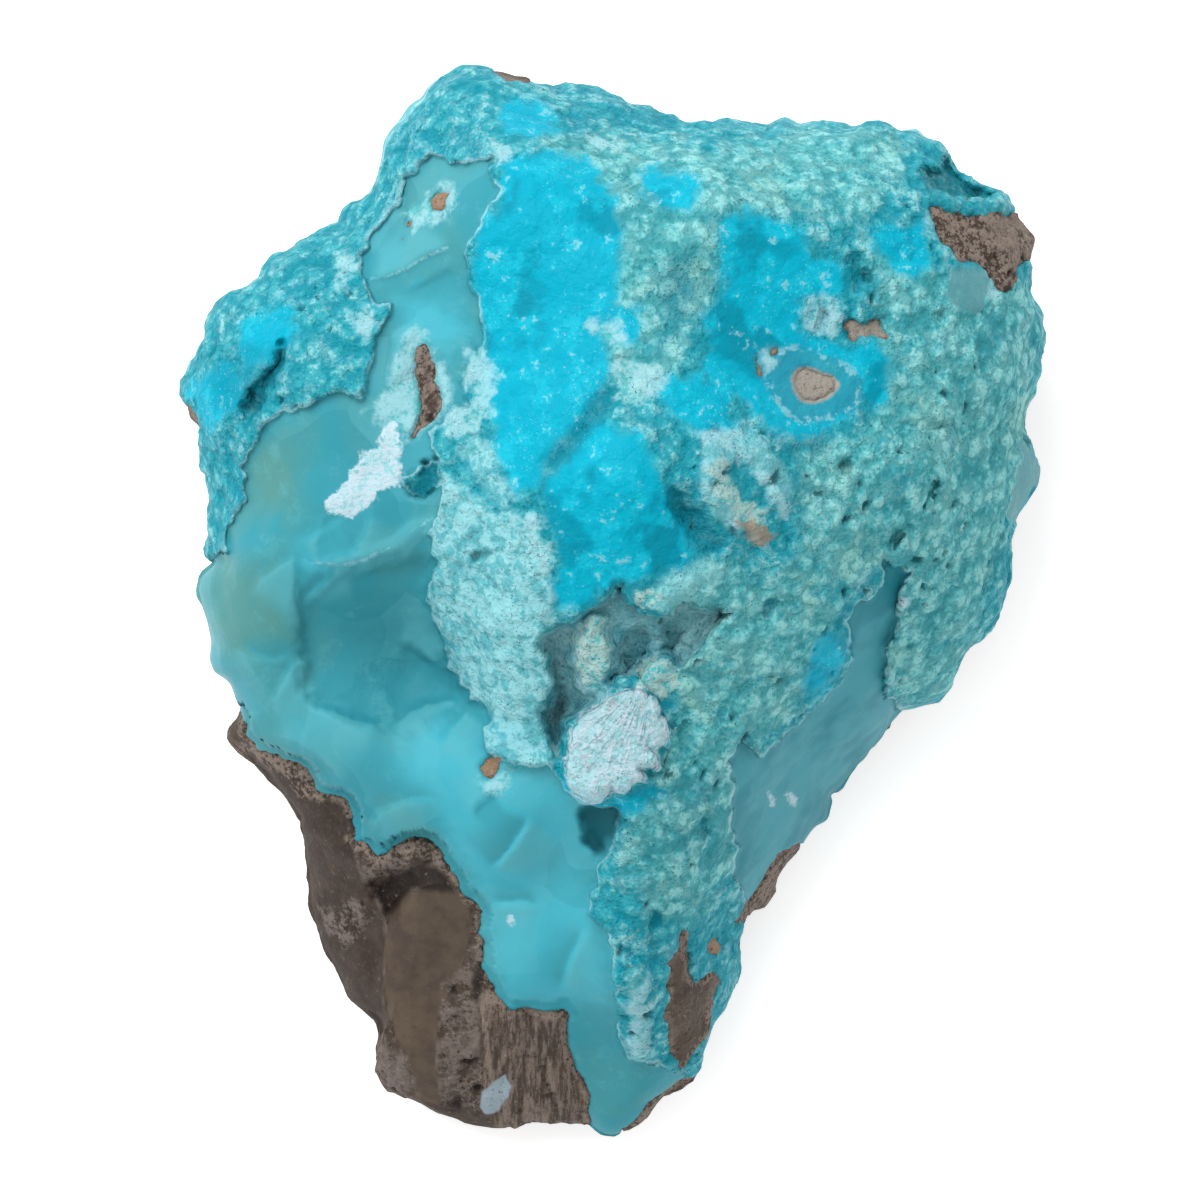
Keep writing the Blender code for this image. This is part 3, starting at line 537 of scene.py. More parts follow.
def ring(middle, radii, sides=28):
    """Pixels of an uneven ellipse round one spot."""
    turns = np.arange(sides) * math.tau / sides
    offsets = np.stack([np.cos(turns) * radii[0], np.sin(turns) * radii[1]], axis=1)
    return [tuple(spot) for spot in np.array(middle) + offsets * wobble(turns)[:, None]]


BARE_PLACES = [
    BROWN_FLANK, BARE_CORNER, BARE_WINDOW, BARE_RIGHT, BARE_SHARD, BARE_TIP,
    ring(EYE, EYE_RADII), EYE_RECESS,
] + BARE_SPECKS + BARE_EDGES

FLANK_BREAKS = [
    # three spots of (pixel, pixel, millimetres) on each flat break
    [(390, 905, 21), (385, 1000, 15), (235, 740, 17)],
    [(395, 905, 22), (470, 905, 25), (440, 1110, 12)],
    [(480, 985, 22), (565, 1015, 21), (560, 1115, 13)],
]


def plane_height(points, spots):
    """Height of the flat break through three spots."""
    spots = np.asarray(spots, dtype=float)
    feet = np.hstack([to_stone(spots[:, :2]), np.ones((3, 1))])
    slope = np.linalg.solve(feet, spots[:, 2] * RISE)
    return points @ slope[:2] + slope[2]


print(len(BARE_PLACES), "bare places")

# %% [markdown]
# ## Noise
#
# A mineral surface is never even. Four seeded kinds of noise stand for what grew or broke: soft
# waves, rounded grains, the creases between grains, and a rough break with fine splinters.

# %% Four kinds of noise
def places_at(points, size, seed):
    """Points measured in one size of noise, moved to a place of their own."""
    return (points / (size * MM) + np.array([7.3, -3.1, 5.7]) * seed).tolist()


def wave(points, size, seed):
    """Soft noise from -1 to 1, its waves some millimetres long."""
    return np.array([noise.noise(place) for place in places_at(points, size, seed)])


def rough(points, size, seed, octaves=4):
    """Broken noise from about -1 to 1."""
    spots = places_at(points, size, seed)
    return np.array([noise.fractal(place, 0.8, 2.0, octaves) for place in spots])


def grains(points, size, seed):
    """Rounded grains, 1 on their tops and 0 between them, and the sharp creases round them."""
    pairs = [noise.voronoi(place)[0][:2] for place in places_at(points, size, seed)]
    first, second = np.array(pairs).T
    return 1.0 - np.clip(first, 0.0, 1.0) ** 2, np.clip(second - first, 0.0, 1.0)


def flat(points):
    """Points on the photograph's own plane."""
    return np.hstack([points, np.zeros((len(points), 1))])


# %% [markdown]
# ## The stone form
#
# Both pieces are a round ball laid on the stone. The upper part of the ball spreads over the
# outline like a sheet over a table, and the rest goes down the flanks and in under the base.
# That keeps every piece closed from the start. The places it gives come with the cover, the
# millimetres of crust from the edge of the nearest bare rock.

# %% Rim, flanks and back
HEART = (600, 560)
RIM_POLAR = math.radians(100.0)
RIM_TURNS = 1440
RIM_DETAIL = 4
RIM_ROUNDING = 4.5
THIN_SHARE = 0.35
CRUST_SKIRT = 12.5
SKIRT_SHARE = 0.55
BACK_PROFILE = [
    # place on the ball past the rim, share of the outline, share of the rim's height
    (0.00, 1.000, 1.00), (0.16, 1.005, 0.74), (0.30, 0.985, 0.48), (0.42, 0.930, 0.24),
    (0.52, 0.850, 0.06), (0.60, 0.740, 0.00), (1.00, 0.000, 0.00),
]
BACK_BREAKS = [
    # direction that a flat break faces and its slope below level, in degrees
    (12, 30), (58, 40), (96, 28), (135, 42), (176, 34), (214, 44), (250, 26), (288, 46),
    (325, 38),
]
BREAK_LEVEL = 0.68


def rim_reach():
    """How far the outline is from the heart of the stone, in even turns all round it."""
    corners = to_stone(OUTLINE) - to_stone([HEART])
    azimuth = np.linspace(-math.pi, math.pi, RIM_TURNS, endpoint=False)
    facing = np.column_stack([np.cos(azimuth), np.sin(azimuth)])
    reach = np.zeros(RIM_TURNS)
    for start, end in zip(corners, np.roll(corners, -1, axis=0)):
        edge = end - start
        cross = facing[:, 0] * edge[1] - facing[:, 1] * edge[0]
        cross = np.where(np.abs(cross) < 1e-12, 1e-12, cross)
        ahead = (start[0] * edge[1] - start[1] * edge[0]) / cross
        along = (start[0] * facing[:, 1] - start[1] * facing[:, 0]) / cross
        meets = (along >= 0.0) & (along <= 1.0) & (ahead > 0.0)
        reach = np.where(meets, np.maximum(reach, ahead), reach)
    return azimuth, reach


def softened(values, turns):
    """The mean of the values over a window that runs round the whole rim."""
    window = np.hanning(turns + 2)[1:-1]
    wrapped = np.concatenate([values[-turns:], values, values[:turns]])
    return np.convolve(wrapped, window / window.sum(), mode="same")[turns:-turns]


def back_planes():
    """Flat breaks as normals and distances, each one touching the rim of the stone."""
    corners = to_stone(OUTLINE)
    rim = np.column_stack([corners, plate_height(corners) * BREAK_LEVEL])
    planes = []
    for facing, slope in BACK_BREAKS:
        turn, drop = math.radians(facing), math.radians(slope)
        level = math.cos(drop)
        normal = np.array([math.cos(turn) * level, math.sin(turn) * level, -math.sin(drop)])
        planes.append((normal, np.max(rim @ normal)))
    return planes


RIM_AZIMUTH, RIM_REACH = rim_reach()
RIM_REACH = softened(RIM_REACH, 5)
RIM_PLAIN = softened(RIM_REACH, 60)
BACK_PLANES = back_planes()
print("rim is", round(RIM_REACH.min() / MM, 1), "to", round(RIM_REACH.max() / MM, 1), "mm away")

# %% The form itself
def lay_front(directions):
    """Where ball directions fall on the photograph's plane, and the shares that place them."""
    polar = np.arccos(np.clip(directions[:, 2], -1.0, 1.0))
    azimuth = np.arctan2(directions[:, 1], directions[:, 0])
    facing = np.column_stack([np.cos(azimuth), np.sin(azimuth)])
    share = np.sin(np.minimum(polar, RIM_POLAR) / 2.0) / math.sin(RIM_POLAR / 2.0)
    reach = np.interp(azimuth, RIM_AZIMUTH, RIM_REACH, period=math.tau)
    plain = np.interp(azimuth, RIM_AZIMUTH, RIM_PLAIN, period=math.tau)
    reach = plain + (reach - plain) * share ** RIM_DETAIL
    beyond = np.clip((polar - RIM_POLAR) / (math.pi - RIM_POLAR), 0.0, 1.0)
    front = to_stone([HEART]) + facing * (reach * share)[:, None]
    return front, facing, reach, share, beyond


def ragged_edges(points):
    """Millimetres by which every edge of a form wanders, the same for shape and colour."""
    spread = flat(points)
    return wave(spread, 2.4, 11) * 0.60 + wave(spread, 1.0, 12) * 0.50


def front_height(points, ragged, detailed):
    """Height of the visible front, in metres."""
    height = plate_height(points)
    if not detailed:
        return height
    for outline, rise, width in RELIEF:
        depth = depth_in(points, outline) + ragged
        height += rise * RISE * smooth_step(depth / width + 0.5)
    height += lined_height(points, ragged * 0.4) * RISE
    flank = depth_in(points, BROWN_FLANK) > -1.0
    for spots in FLANK_BREAKS:
        height = np.where(flank, np.minimum(height, plane_height(points, spots)), height)
    return height + wave(flat(points), 13.0, 2) * 1.2 * MM


def stone_form(directions, detailed):
    """Lays ball directions on the stone, with the crust's cover in millimetres."""
    front, facing, reach, share, beyond = lay_front(directions)
    ragged = ragged_edges(front) if detailed else np.zeros(len(front))
    height = front_height(front, ragged, detailed)
    fall = 1.0 - np.clip((1.0 - share) * reach / (RIM_ROUNDING * MM), 0.0, 1.0)
    depth = np.minimum(RIM_ROUNDING * MM, height * THIN_SHARE)
    height -= depth * (1.0 - np.sqrt(1.0 - fall * fall * 0.98))

    profile = np.array(BACK_PROFILE)
    spread = np.interp(beyond, profile[:, 0], profile[:, 1])
    level = np.interp(beyond, profile[:, 0], profile[:, 2])
    plan = np.where(beyond[:, None] > 0.0, to_stone([HEART]) + facing * (reach * spread)[:, None], front)
    places = np.column_stack([plan, height * level])
    places[:, :2] += facing * (wave(places, 16.0, 3) * 2.2 * MM * smooth_step(beyond * 4.0))[:, None]
    places[:, 2] += np.maximum(wave(places, 16.0, 4), 0.0) * 3.0 * MM * smooth_step(beyond * 2.0)
    cut = places
    for normal, distance in BACK_PLANES:
        cut = cut - np.maximum(cut @ normal - distance, 0.0)[:, None] * normal
    places = places + (cut - places) * smooth_step(beyond / 0.22)[:, None]
    places[:, 2] = np.maximum(places[:, 2], 0.0)

    down = ((1.0 - level) * height + (1.0 - spread) * reach) / MM
    skirt = np.minimum(CRUST_SKIRT, height / MM * SKIRT_SHARE) + 4.5 * wave(places, 16.0, 5)
    skirt += rough(places, 5.0, 6) * 0.9
    bare = -depth_in_any(places[:, :2], BARE_PLACES) + ragged * 0.6
    cover = np.minimum(np.maximum(bare, -FAR), skirt - down)
    return places, cover, front, ragged, beyond


def inward(directions):
    """Which way the rock lies from each place: down on the front, level at the rim."""
    polar = np.arccos(np.clip(directions[:, 2], -1.0, 1.0))
    azimuth = np.arctan2(directions[:, 1], directions[:, 0])
    lean = np.where(polar < RIM_POLAR, RIM_POLAR * (polar / RIM_POLAR) ** 8, polar)
    level = np.sin(lean)
    return -np.column_stack([np.cos(azimuth) * level, np.sin(azimuth) * level, np.cos(lean)])


# %% [markdown]
# The ball starts even. Its edges are split until, laid on the stone, they are short enough for
# what shows there: under half a millimetre at the ledges, and several millimetres where one
# piece lies hidden in the other. The numbers are the longest edges, in millimetres.

# %% Splitting the ball
LEDGES = [outline for outline, _, width in RELIEF if width < 2.0]
LEDGE_EDGE = 0.43
CRUST_FRONT_EDGE = 0.57
CRUST_FLANK_EDGE = 1.05
ROCK_FRONT_EDGE = 0.45
ROCK_FLANK_EDGE = 0.85
BASE_EDGE = 1.6
HIDDEN_EDGE = 4.0


def crust_edge_length(places, cover):
    """How long the crust's edges may be, in millimetres."""
    high = places[:, 2] > 0.5 * plate_height(places[:, :2])
    shown = np.where(high, CRUST_FRONT_EDGE, CRUST_FLANK_EDGE)
    to_ledge = np.min([np.abs(depth_in(places[:, :2], outline)) for outline in LEDGES], axis=0)
    to_step = nearest_line(places[:, :2], STEP_LINES)
    shown = np.where((to_ledge < 0.9) | (to_step < 0.6), LEDGE_EDGE, shown)
    return np.where(cover > -1.4, shown, HIDDEN_EDGE)


def rock_edge_length(places, cover):
    """How long the rock's edges may be, in millimetres."""
    high = places[:, 2] > 0.72 * plate_height(places[:, :2])
    shown = np.where(high, ROCK_FRONT_EDGE, ROCK_FLANK_EDGE)
    shown = np.where(places[:, 2] < 1.5 * MM, BASE_EDGE, shown)
    return np.where(cover < 0.8, shown, HIDDEN_EDGE)


def refine_ball(edge_length, rounds=5):
    """Splits the edges of a ball until, laid on the plain form, they are short enough."""
    ball = bmesh.new()
    bmesh.ops.create_icosphere(ball, subdivisions=5, radius=1.0)
    for _ in range(rounds):
        directions = np.array([vert.co for vert in ball.verts])
        directions /= np.linalg.norm(directions, axis=1)[:, None]
        places, cover = stone_form(directions, False)[:2]
        wanted = edge_length(places, cover) * MM
        ball.verts.index_update()
        pairs = np.array([(edge.verts[0].index, edge.verts[1].index) for edge in ball.edges])
        lengths = np.linalg.norm(places[pairs[:, 0]] - places[pairs[:, 1]], axis=1)
        short = np.minimum(wanted[pairs[:, 0]], wanted[pairs[:, 1]])
        picked = lengths > 1.4 * short
        if not picked.any():
            break
        long_edges = [edge for edge, chosen in zip(ball.edges, picked) if chosen]
        bmesh.ops.subdivide_edges(ball, edges=long_edges, cuts=1, use_single_edge=True)
        bmesh.ops.triangulate(ball, faces=ball.faces[:], quad_method="SHORT_EDGE")
        for vert in ball.verts:
            vert.co.normalize()
    print("ball with", len(ball.faces), "faces")
    return ball


def directions_of(ball):
    """The ball's points as unit directions."""
    directions = np.array([vert.co for vert in ball.verts])
    return directions / np.linalg.norm(directions, axis=1)[:, None]


def move_points(form, places):
    """Puts every point of a form at its place."""
    for vert, place in zip(form.verts, places.tolist()):
        vert.co = place
    form.normal_update()


def push_out(form, amounts):
    """Moves every point along its own normal by an amount in millimetres."""
    for vert, amount in zip(form.verts, (amounts * MM).tolist()):
        vert.co += vert.normal * amount
    form.normal_update()


def add_piece(name, form, marks):
    """Makes a form into a named object and writes its marks, one number for each point."""
    mesh = bpy.data.meshes.new(name)
    form.to_mesh(mesh)
    form.free()
    mesh.shade_smooth()
    for mark, values in marks.items():
        layer = mesh.attributes.new(mark, "FLOAT", "POINT")
        layer.data.foreach_set("value", np.asarray(values, dtype=np.float32))
    piece = bpy.data.objects.new(name, mesh)
    bpy.context.scene.collection.objects.link(piece)
    print(name, len(mesh.polygons), "faces")
    return piece


# %% [markdown]
# ## Colour zones
#
# Colour in smithsonite follows the copper in it and how the light gets through. Some zones are
# painted shade in hollows, valleys and pockets. The zones are outlines on the front, and only their
# distances go to the finish, as numbers on the points.

# %% Outlines of the colour zones
VIVID = [
    [(500, 165), (540, 152), (585, 160), (612, 190), (622, 240), (618, 290), (612, 340),
     (606, 385), (580, 420), (556, 450), (540, 490), (520, 500), (505, 470), (490, 420),
     (480, 380), (484, 330), (470, 280), (476, 235), (500, 200)],
    [(600, 420), (640, 440), (660, 470), (670, 500), (690, 530), (690, 560), (650, 580),
     (620, 580), (585, 605), (555, 610), (550, 580), (560, 560), (558, 540), (550, 520),
     (540, 500), (545, 480), (565, 460), (580, 440)],
    [(722, 222), (745, 212), (790, 228), (812, 255), (835, 262), (850, 290), (800, 300),
     (796, 330), (850, 345), (862, 372), (850, 420), (800, 440), (762, 430), (735, 398),
     (716, 392), (700, 370), (705, 330), (722, 290)],
    [(655, 385), (700, 375), (730, 395), (728, 425), (700, 436), (672, 420)],
    [(640, 175), (672, 172), (700, 185), (690, 210), (660, 212)],
    [(868, 232), (890, 228), (925, 225), (932, 260), (915, 278), (880, 262)],
    [(845, 345), (875, 340), (890, 365), (885, 400), (862, 410), (852, 380)],
    [(500, 100), (540, 105), (560, 130), (530, 145), (500, 130)],
    [(556, 766), (572, 786), (590, 796), (612, 800), (650, 784), (660, 790), (640, 806),
     (610, 814), (584, 808), (562, 790)],
    [(810, 640), (842, 632), (850, 655), (836, 680), (812, 700), (800, 680)],
    [(240, 330), (280, 300), (300, 330), (270, 360), (245, 372)],
    [(190, 385), (222, 360), (245, 372), (240, 405), (215, 430), (198, 420)],
    [(600, 300), (640, 310), (640, 350), (610, 345)],
    [(490, 715), (520, 720), (530, 745), (505, 757), (488, 742)],
]
MINT = [
    [(600, 200), (700, 195), (722, 230), (716, 290), (700, 330), (668, 385), (612, 400),
     (600, 340), (620, 280), (618, 240)],
    [(560, 185), (640, 230), (690, 230), (720, 215), (800, 215), (860, 225), (905, 170),
     (900, 135), (820, 130), (700, 150), (620, 130), (540, 140)],
    [(860, 240), (930, 270), (1035, 290), (1040, 400), (1000, 560), (960, 640), (900, 560),
     (800, 600), (740, 620), (800, 540), (790, 450), (850, 440), (880, 400)],
    [(445, 482), (436, 550), (428, 600), (468, 702), (492, 718), (545, 765), (560, 690),
     (545, 640), (560, 612), (545, 570), (520, 530), (480, 500)],
    [(650, 580), (690, 565), (740, 560), (800, 590), (850, 600), (820, 640), (800, 700),
     (760, 750), (740, 850), (690, 930), (650, 920), (620, 860), (640, 800), (670, 730),
     (680, 660)],
    [(890, 560), (960, 500), (1000, 440), (1010, 540), (960, 690), (900, 705), (875, 650)],
]
# teal zones: painted shade in valleys, below a ridge and round the lobe's cavity, partly a deeper teal
# of their own
TEAL_SHADE_ZONES = [
    [(625, 365), (605, 410), (580, 445), (550, 470), (545, 500), (535, 490), (560, 445),
     (590, 400)],
    [(660, 260), (690, 255), (695, 290), (675, 330), (655, 300)],
    [(205, 380), (240, 340), (290, 350), (300, 380), (270, 400), (230, 430)],
    [(760, 425), (800, 440), (830, 438), (825, 452), (790, 460), (765, 445)],
]
WHITE_CRUST = [
    WHITE_KNOB,
    [(345, 480), (325, 502), (330, 512), (345, 518), (360, 510), (375, 500), (385, 487),
     (400, 485), (402, 450), (400, 440), (395, 425), (385, 432), (375, 445), (362, 455),
     (350, 470)],
]
PALE_RIM = [
    [(805, 300), (820, 296), (838, 305), (848, 330), (838, 344), (815, 338), (803, 325)],
    [(622, 960), (645, 962), (648, 985), (650, 1010), (648, 1040), (640, 1055), (628, 1050),
     (622, 1010)],
    [(755, 350), (775, 345), (782, 360), (772, 372), (758, 368)],
    [(585, 325), (612, 318), (630, 345), (600, 352)],
    [(612, 362), (650, 358), (664, 385), (640, 410), (612, 402)],
    [(508, 516), (530, 510), (548, 528), (556, 560), (552, 585), (540, 560), (525, 532)],
    [(420, 325), (405, 340), (398, 355), (393, 375), (383, 395), (368, 410), (385, 425),
     (404, 428), (404, 450), (412, 442), (440, 422), (452, 400), (448, 380), (436, 350)],
    [(352, 312), (368, 308), (374, 330), (365, 350), (354, 340)],
    [(495, 143), (510, 145), (515, 158), (500, 168), (492, 158)],
    [(585, 135), (620, 140), (618, 152), (590, 148)],
    [(465, 350), (485, 345), (498, 380), (492, 420), (470, 440), (440, 440), (455, 408),
     (468, 405)],
    [(698, 434), (716, 430), (735, 438), (728, 450), (712, 446), (702, 452)],
    [(700, 455), (708, 452), (712, 480), (722, 505), (745, 528), (740, 536), (716, 516),
     (702, 490)],
    [(735, 440), (750, 452), (766, 470), (784, 492), (790, 520), (780, 524), (770, 500),
     (752, 478), (738, 460)],
    [(478, 775), (488, 776), (510, 770), (512, 785), (500, 798), (482, 798)],
    [(575, 620), (615, 615), (616, 650), (612, 690), (595, 702), (575, 690)],
    [(336, 262), (350, 250), (356, 268), (348, 296), (338, 290)],
    [(404, 210), (430, 190), (456, 186), (462, 200), (442, 220), (412, 236)],
    [(930, 200), (940, 250), (955, 268), (985, 270), (1000, 292), (990, 300), (950, 280),
     (925, 240)],
]
OLIVE = [
    [(247, 460), (262, 435), (285, 420), (310, 420), (318, 450), (310, 480), (295, 510),
     (262, 515), (248, 498)],
    [(215, 560), (290, 540), (296, 640), (240, 672), (205, 640), (200, 590)],
    [(235, 480), (243, 480), (246, 505), (238, 520), (230, 530), (228, 510)],
]
MILKY = [
    [(708, 470), (718, 460), (728, 478), (742, 498), (760, 510), (770, 530), (745, 526),
     (720, 506), (710, 490)],
    [(578, 622), (600, 614), (612, 640), (608, 672), (590, 690), (576, 670)],
    [(634, 592), (650, 588), (664, 596), (650, 606), (638, 604)],
    [(640, 660), (664, 655), (676, 680), (664, 705), (636, 690)],
]
LILAC = [
    [(948, 266), (985, 268), (990, 290), (985, 310), (962, 312), (945, 298)],
    [(1020, 440), (1042, 455), (1043, 475), (1030, 500), (1012, 525), (1008, 505),
     (1015, 480), (1020, 460)],
]
RUSTY = [
    [(728, 520), (745, 516), (768, 520), (778, 534), (768, 548), (745, 540)],
]
# places painted with shade: the hollow by the peninsula and the bowl under the knob
SHADED_HOLLOWS = [
    [(360, 600), (400, 590), (430, 600), (446, 650), (460, 690), (430, 700), (400, 715),
     (370, 700), (350, 660)],
    [(600, 815), (620, 812), (600, 870), (592, 890), (585, 860), (588, 820)],
]
CLEAR = [
    [(440, 715), (480, 735), (490, 760), (556, 780), (590, 812), (620, 840), (600, 880), (600, 930),
     (612, 980), (612, 1010), (570, 1010), (510, 1008), (490, 960), (485, 905), (455, 860),
     (430, 810), (400, 790), (400, 740)],
    [(290, 545), (370, 510), (360, 560), (300, 600)],
    [(400, 300), (450, 280), (470, 330), (450, 360), (400, 340)],
]
SUNKEN = [CAVITY_COLUMN, CAVITY]
FROSTED = [
    PENINSULA,
    [(478, 430), (500, 470), (520, 510), (540, 530), (552, 560), (540, 580), (500, 520),
     (470, 480), (455, 450)],
]
WHITE_DOTS = [
    [(766, 793), (771, 790), (776, 796), (775, 808), (769, 808)],
    [(788, 792), (792, 790), (797, 800), (796, 808), (791, 804)],
    [(900, 596), (906, 594), (910, 604), (906, 615), (901, 606)],
    [(508, 916), (514, 914), (517, 920), (512, 924), (508, 921)],
]
ZONES = {
    "clear": CLEAR, "sunk": SUNKEN, "milky": MILKY,
    "vivid": VIVID, "mint": MINT, "teal_shade": TEAL_SHADE_ZONES, "white": WHITE_CRUST, "pale": PALE_RIM,
    "olive": OLIVE, "lilac": LILAC, "rusty": RUSTY, "hollow_shade": SHADED_HOLLOWS,
    "frost": FROSTED, "dots": WHITE_DOTS,
    # painted shade in the pockets, the lobe's cavity, the corner recess and the pits
    "dark_and_shaded": [POCKET, LOBE_CAVITY, CORNER_RECESS] + SHADED_POCKETS + RIGHT_PITS,
}
print(len(ZONES), "colour zones")

# %% [markdown]
# ## The crust
#
# Old smithsonite skin is botryoidal: thousands of rounded grains about a millimetre wide, on
# lumps a few millimetres wide. The grains stand only on the skin. The vivid faces are nearly
# smooth, and the broken ground has just shallow shells. After the form is laid, the points move
# along their normals by these amounts. Each point also carries marks, which tell the finish how
# far it is from every zone, ledge and vein.

# %% Crust mesh
LUMPY_SKIN = [
    [(560, 560), (700, 400), (780, 440), (860, 230), (940, 100), (1080, 100), (1080, 640),
     (900, 740), (740, 760), (700, 900), (700, 1080), (600, 1080), (590, 880), (650, 790),
     (690, 650)],
    [(160, 300), (380, 150), (440, 60), (520, 60), (450, 150), (370, 240), (350, 390),
     (240, 430), (220, 560), (160, 560)],
]
KNOB_FAN = (652, 672)
VEINS = [RIDGE_LINES[0], STEP_LINES[13]]


def eye_distance(points):
    """Distance from the middle of the eye, as a share of the core's radius."""
    offset = (points - to_stone([EYE])) / PIXEL / np.array(EYE_RADII)
    turns = np.arctan2(-offset[:, 1], offset[:, 0])
    return np.minimum(np.linalg.norm(offset, axis=1) / wobble(turns), 8.0)


def make_crust():
    """The blue-green crust, which dips into the rock wherever that is bare."""
    ball = refine_ball(crust_edge_length)
    directions = directions_of(ball)
    places, cover, front, ragged, beyond = stone_form(directions, True)
    dip = np.clip(-cover * 3.0, 0.0, 2.6) * MM
    move_points(ball, places + inward(directions) * dip[:, None])

    ground = depth_in(front, SMOOTH_GROUND) + ragged
    slot = depth_in(front, SLOT) + ragged
    marks = {name: depth_in_any(front, outlines) + ragged for name, outlines in ZONES.items()}
    broken = smooth_step(np.maximum(ground, slot) / 0.6 + 0.5)
    broken = np.where(beyond > 0.0, smooth_step(wave(places, 14.0, 21) * 3.0 + 0.3), broken)
    vivid = smooth_step(marks["vivid"] / 1.5 + 0.5)
    lumpy = smooth_step(depth_in_any(front, LUMPY_SKIN) / 4.0 + 0.5)
    crusty = smooth_step(np.maximum(marks["white"], marks["pale"]) / 0.8 + 0.5)
    skin = np.maximum((1.0 - broken) * (1.0 - vivid * 0.6), crusty * 0.5)
    skin *= 1.0 - 0.9 * smooth_step(marks["lilac"] / 0.6 + 0.5)

    grain, creases = grains(places, 1.5, 31)
    lump, _ = grains(places, 3.4, 32)
    swell = wave(places, 7.0, 33)
    break_up = rough(places, 2.6, 37, 4)
    pits = smooth_step((wave(places, 1.7, 34) - 0.52) / 0.12) * (0.3 + 0.7 * lumpy)
    shells, _ = grains(places, 11.0, 35)
    lift = skin * ((grain - 0.6) * (0.12 + 0.20 * lumpy) + (lump - 0.6) * (0.15 + 0.55 * lumpy))
    lift += skin * (break_up * 0.35 + swell * 0.6 - pits * 0.8)
    lift += (1.0 - skin) * (swell * 0.25 + wave(places, 2.5, 36) * 0.07)
    lift += broken * (shells - 0.6) * 0.4
    lift *= np.where(cover > -0.5, 1.0, 0.2)
    push_out(ball, lift)

    from_fan = (front - to_stone([KNOB_FAN])) / MM
    turn = np.arctan2(-from_fan[:, 0], -from_fan[:, 1]) * 9.0
    spread = np.linalg.norm(from_fan, axis=1) * 0.22
    marks.update(
        ground=ground, slot=slot, cover=cover, eye=eye_distance(front), skin=skin,
        knob=depth_in(front, WHITE_KNOB), turn=turn, spread=spread,
        vein=nearest_line(front, VEINS), lines=lined_height(front, ragged * 0.4),
        grain=grain * creases ** 0.3, rise=lump * 0.5 + break_up * 0.3, pit=pits * skin)
    return add_piece("crust", ball, marks)


crust = make_crust()

# %% [markdown]
# ## The host rock
#
# The host is a fine limestone. It broke in flat faces with rough patches, and its lowest part
# is streaked from top to bottom. It fills the inside of the crust, so most of its surface is
# hidden and can stay coarse.

# %% Rock mesh
# the left face, darker partly as its own fresh rock and partly as painted shade
DARK_SHADED_FACE = [
    (236, 752), (262, 758), (298, 772), (314, 798), (346, 806), (350, 842), (364, 884),
    (384, 920), (382, 960), (383, 1010), (388, 1036), (370, 1040), (280, 1000), (220, 800),
]
SMOOTH_FACE = [
    (386, 925), (392, 906), (410, 892), (440, 888), (460, 890), (468, 905), (471, 930),
    (463, 962), (452, 985), (438, 1012), (434, 1040), (438, 1112), (412, 1100), (404, 1060),
    (392, 1030), (384, 1010), (383, 960),
]
ROUGH_PATCHES = [
    [(316, 908), (350, 900), (372, 916), (358, 940), (340, 950), (322, 930)],
    [(352, 842), (378, 855), (420, 842), (440, 850), (450, 868), (430, 866), (412, 864),
     (396, 872), (376, 880), (362, 872)],
    [(440, 985), (470, 965), (480, 1000), (478, 1060), (480, 1120), (440, 1112), (438, 1050)],
    [(376, 1042), (392, 1040), (408, 1062), (418, 1100), (400, 1105), (372, 1090)],
]
SHADED_PLACES = [
    [(372, 888), (392, 876), (412, 868), (424, 878), (404, 900), (388, 920), (378, 905)],
    [(470, 985), (476, 966), (484, 964), (484, 980), (478, 1004), (470, 1000)],
    [(400, 872), (418, 862), (436, 868), (452, 884), (456, 896), (430, 892), (406, 890)],
    [(448, 1100), (462, 1098), (462, 1120), (446, 1116)],
]
STREAKED_FACE = [
    (480, 985), (510, 1012), (563, 1012), (570, 1040), (590, 1100), (600, 1150), (500, 1150),
    (480, 1100), (478, 1040),
]
CRYSTAL_PATCH = [
    (480, 1100), (490, 1085), (505, 1078), (510, 1090), (508, 1102), (498, 1115), (485, 1120),
    (478, 1112),
]
TAN_PLACES = [
    [(350, 838), (380, 852), (420, 838), (442, 848), (462, 888), (445, 876), (425, 856),
     (398, 858), (378, 866), (356, 852)],
    [(228, 740), (250, 743), (300, 765), (320, 797), (300, 800), (270, 770), (236, 752)],
    BARE_CORNER, BARE_RIGHT, BARE_TIP,
] + BARE_SPECKS


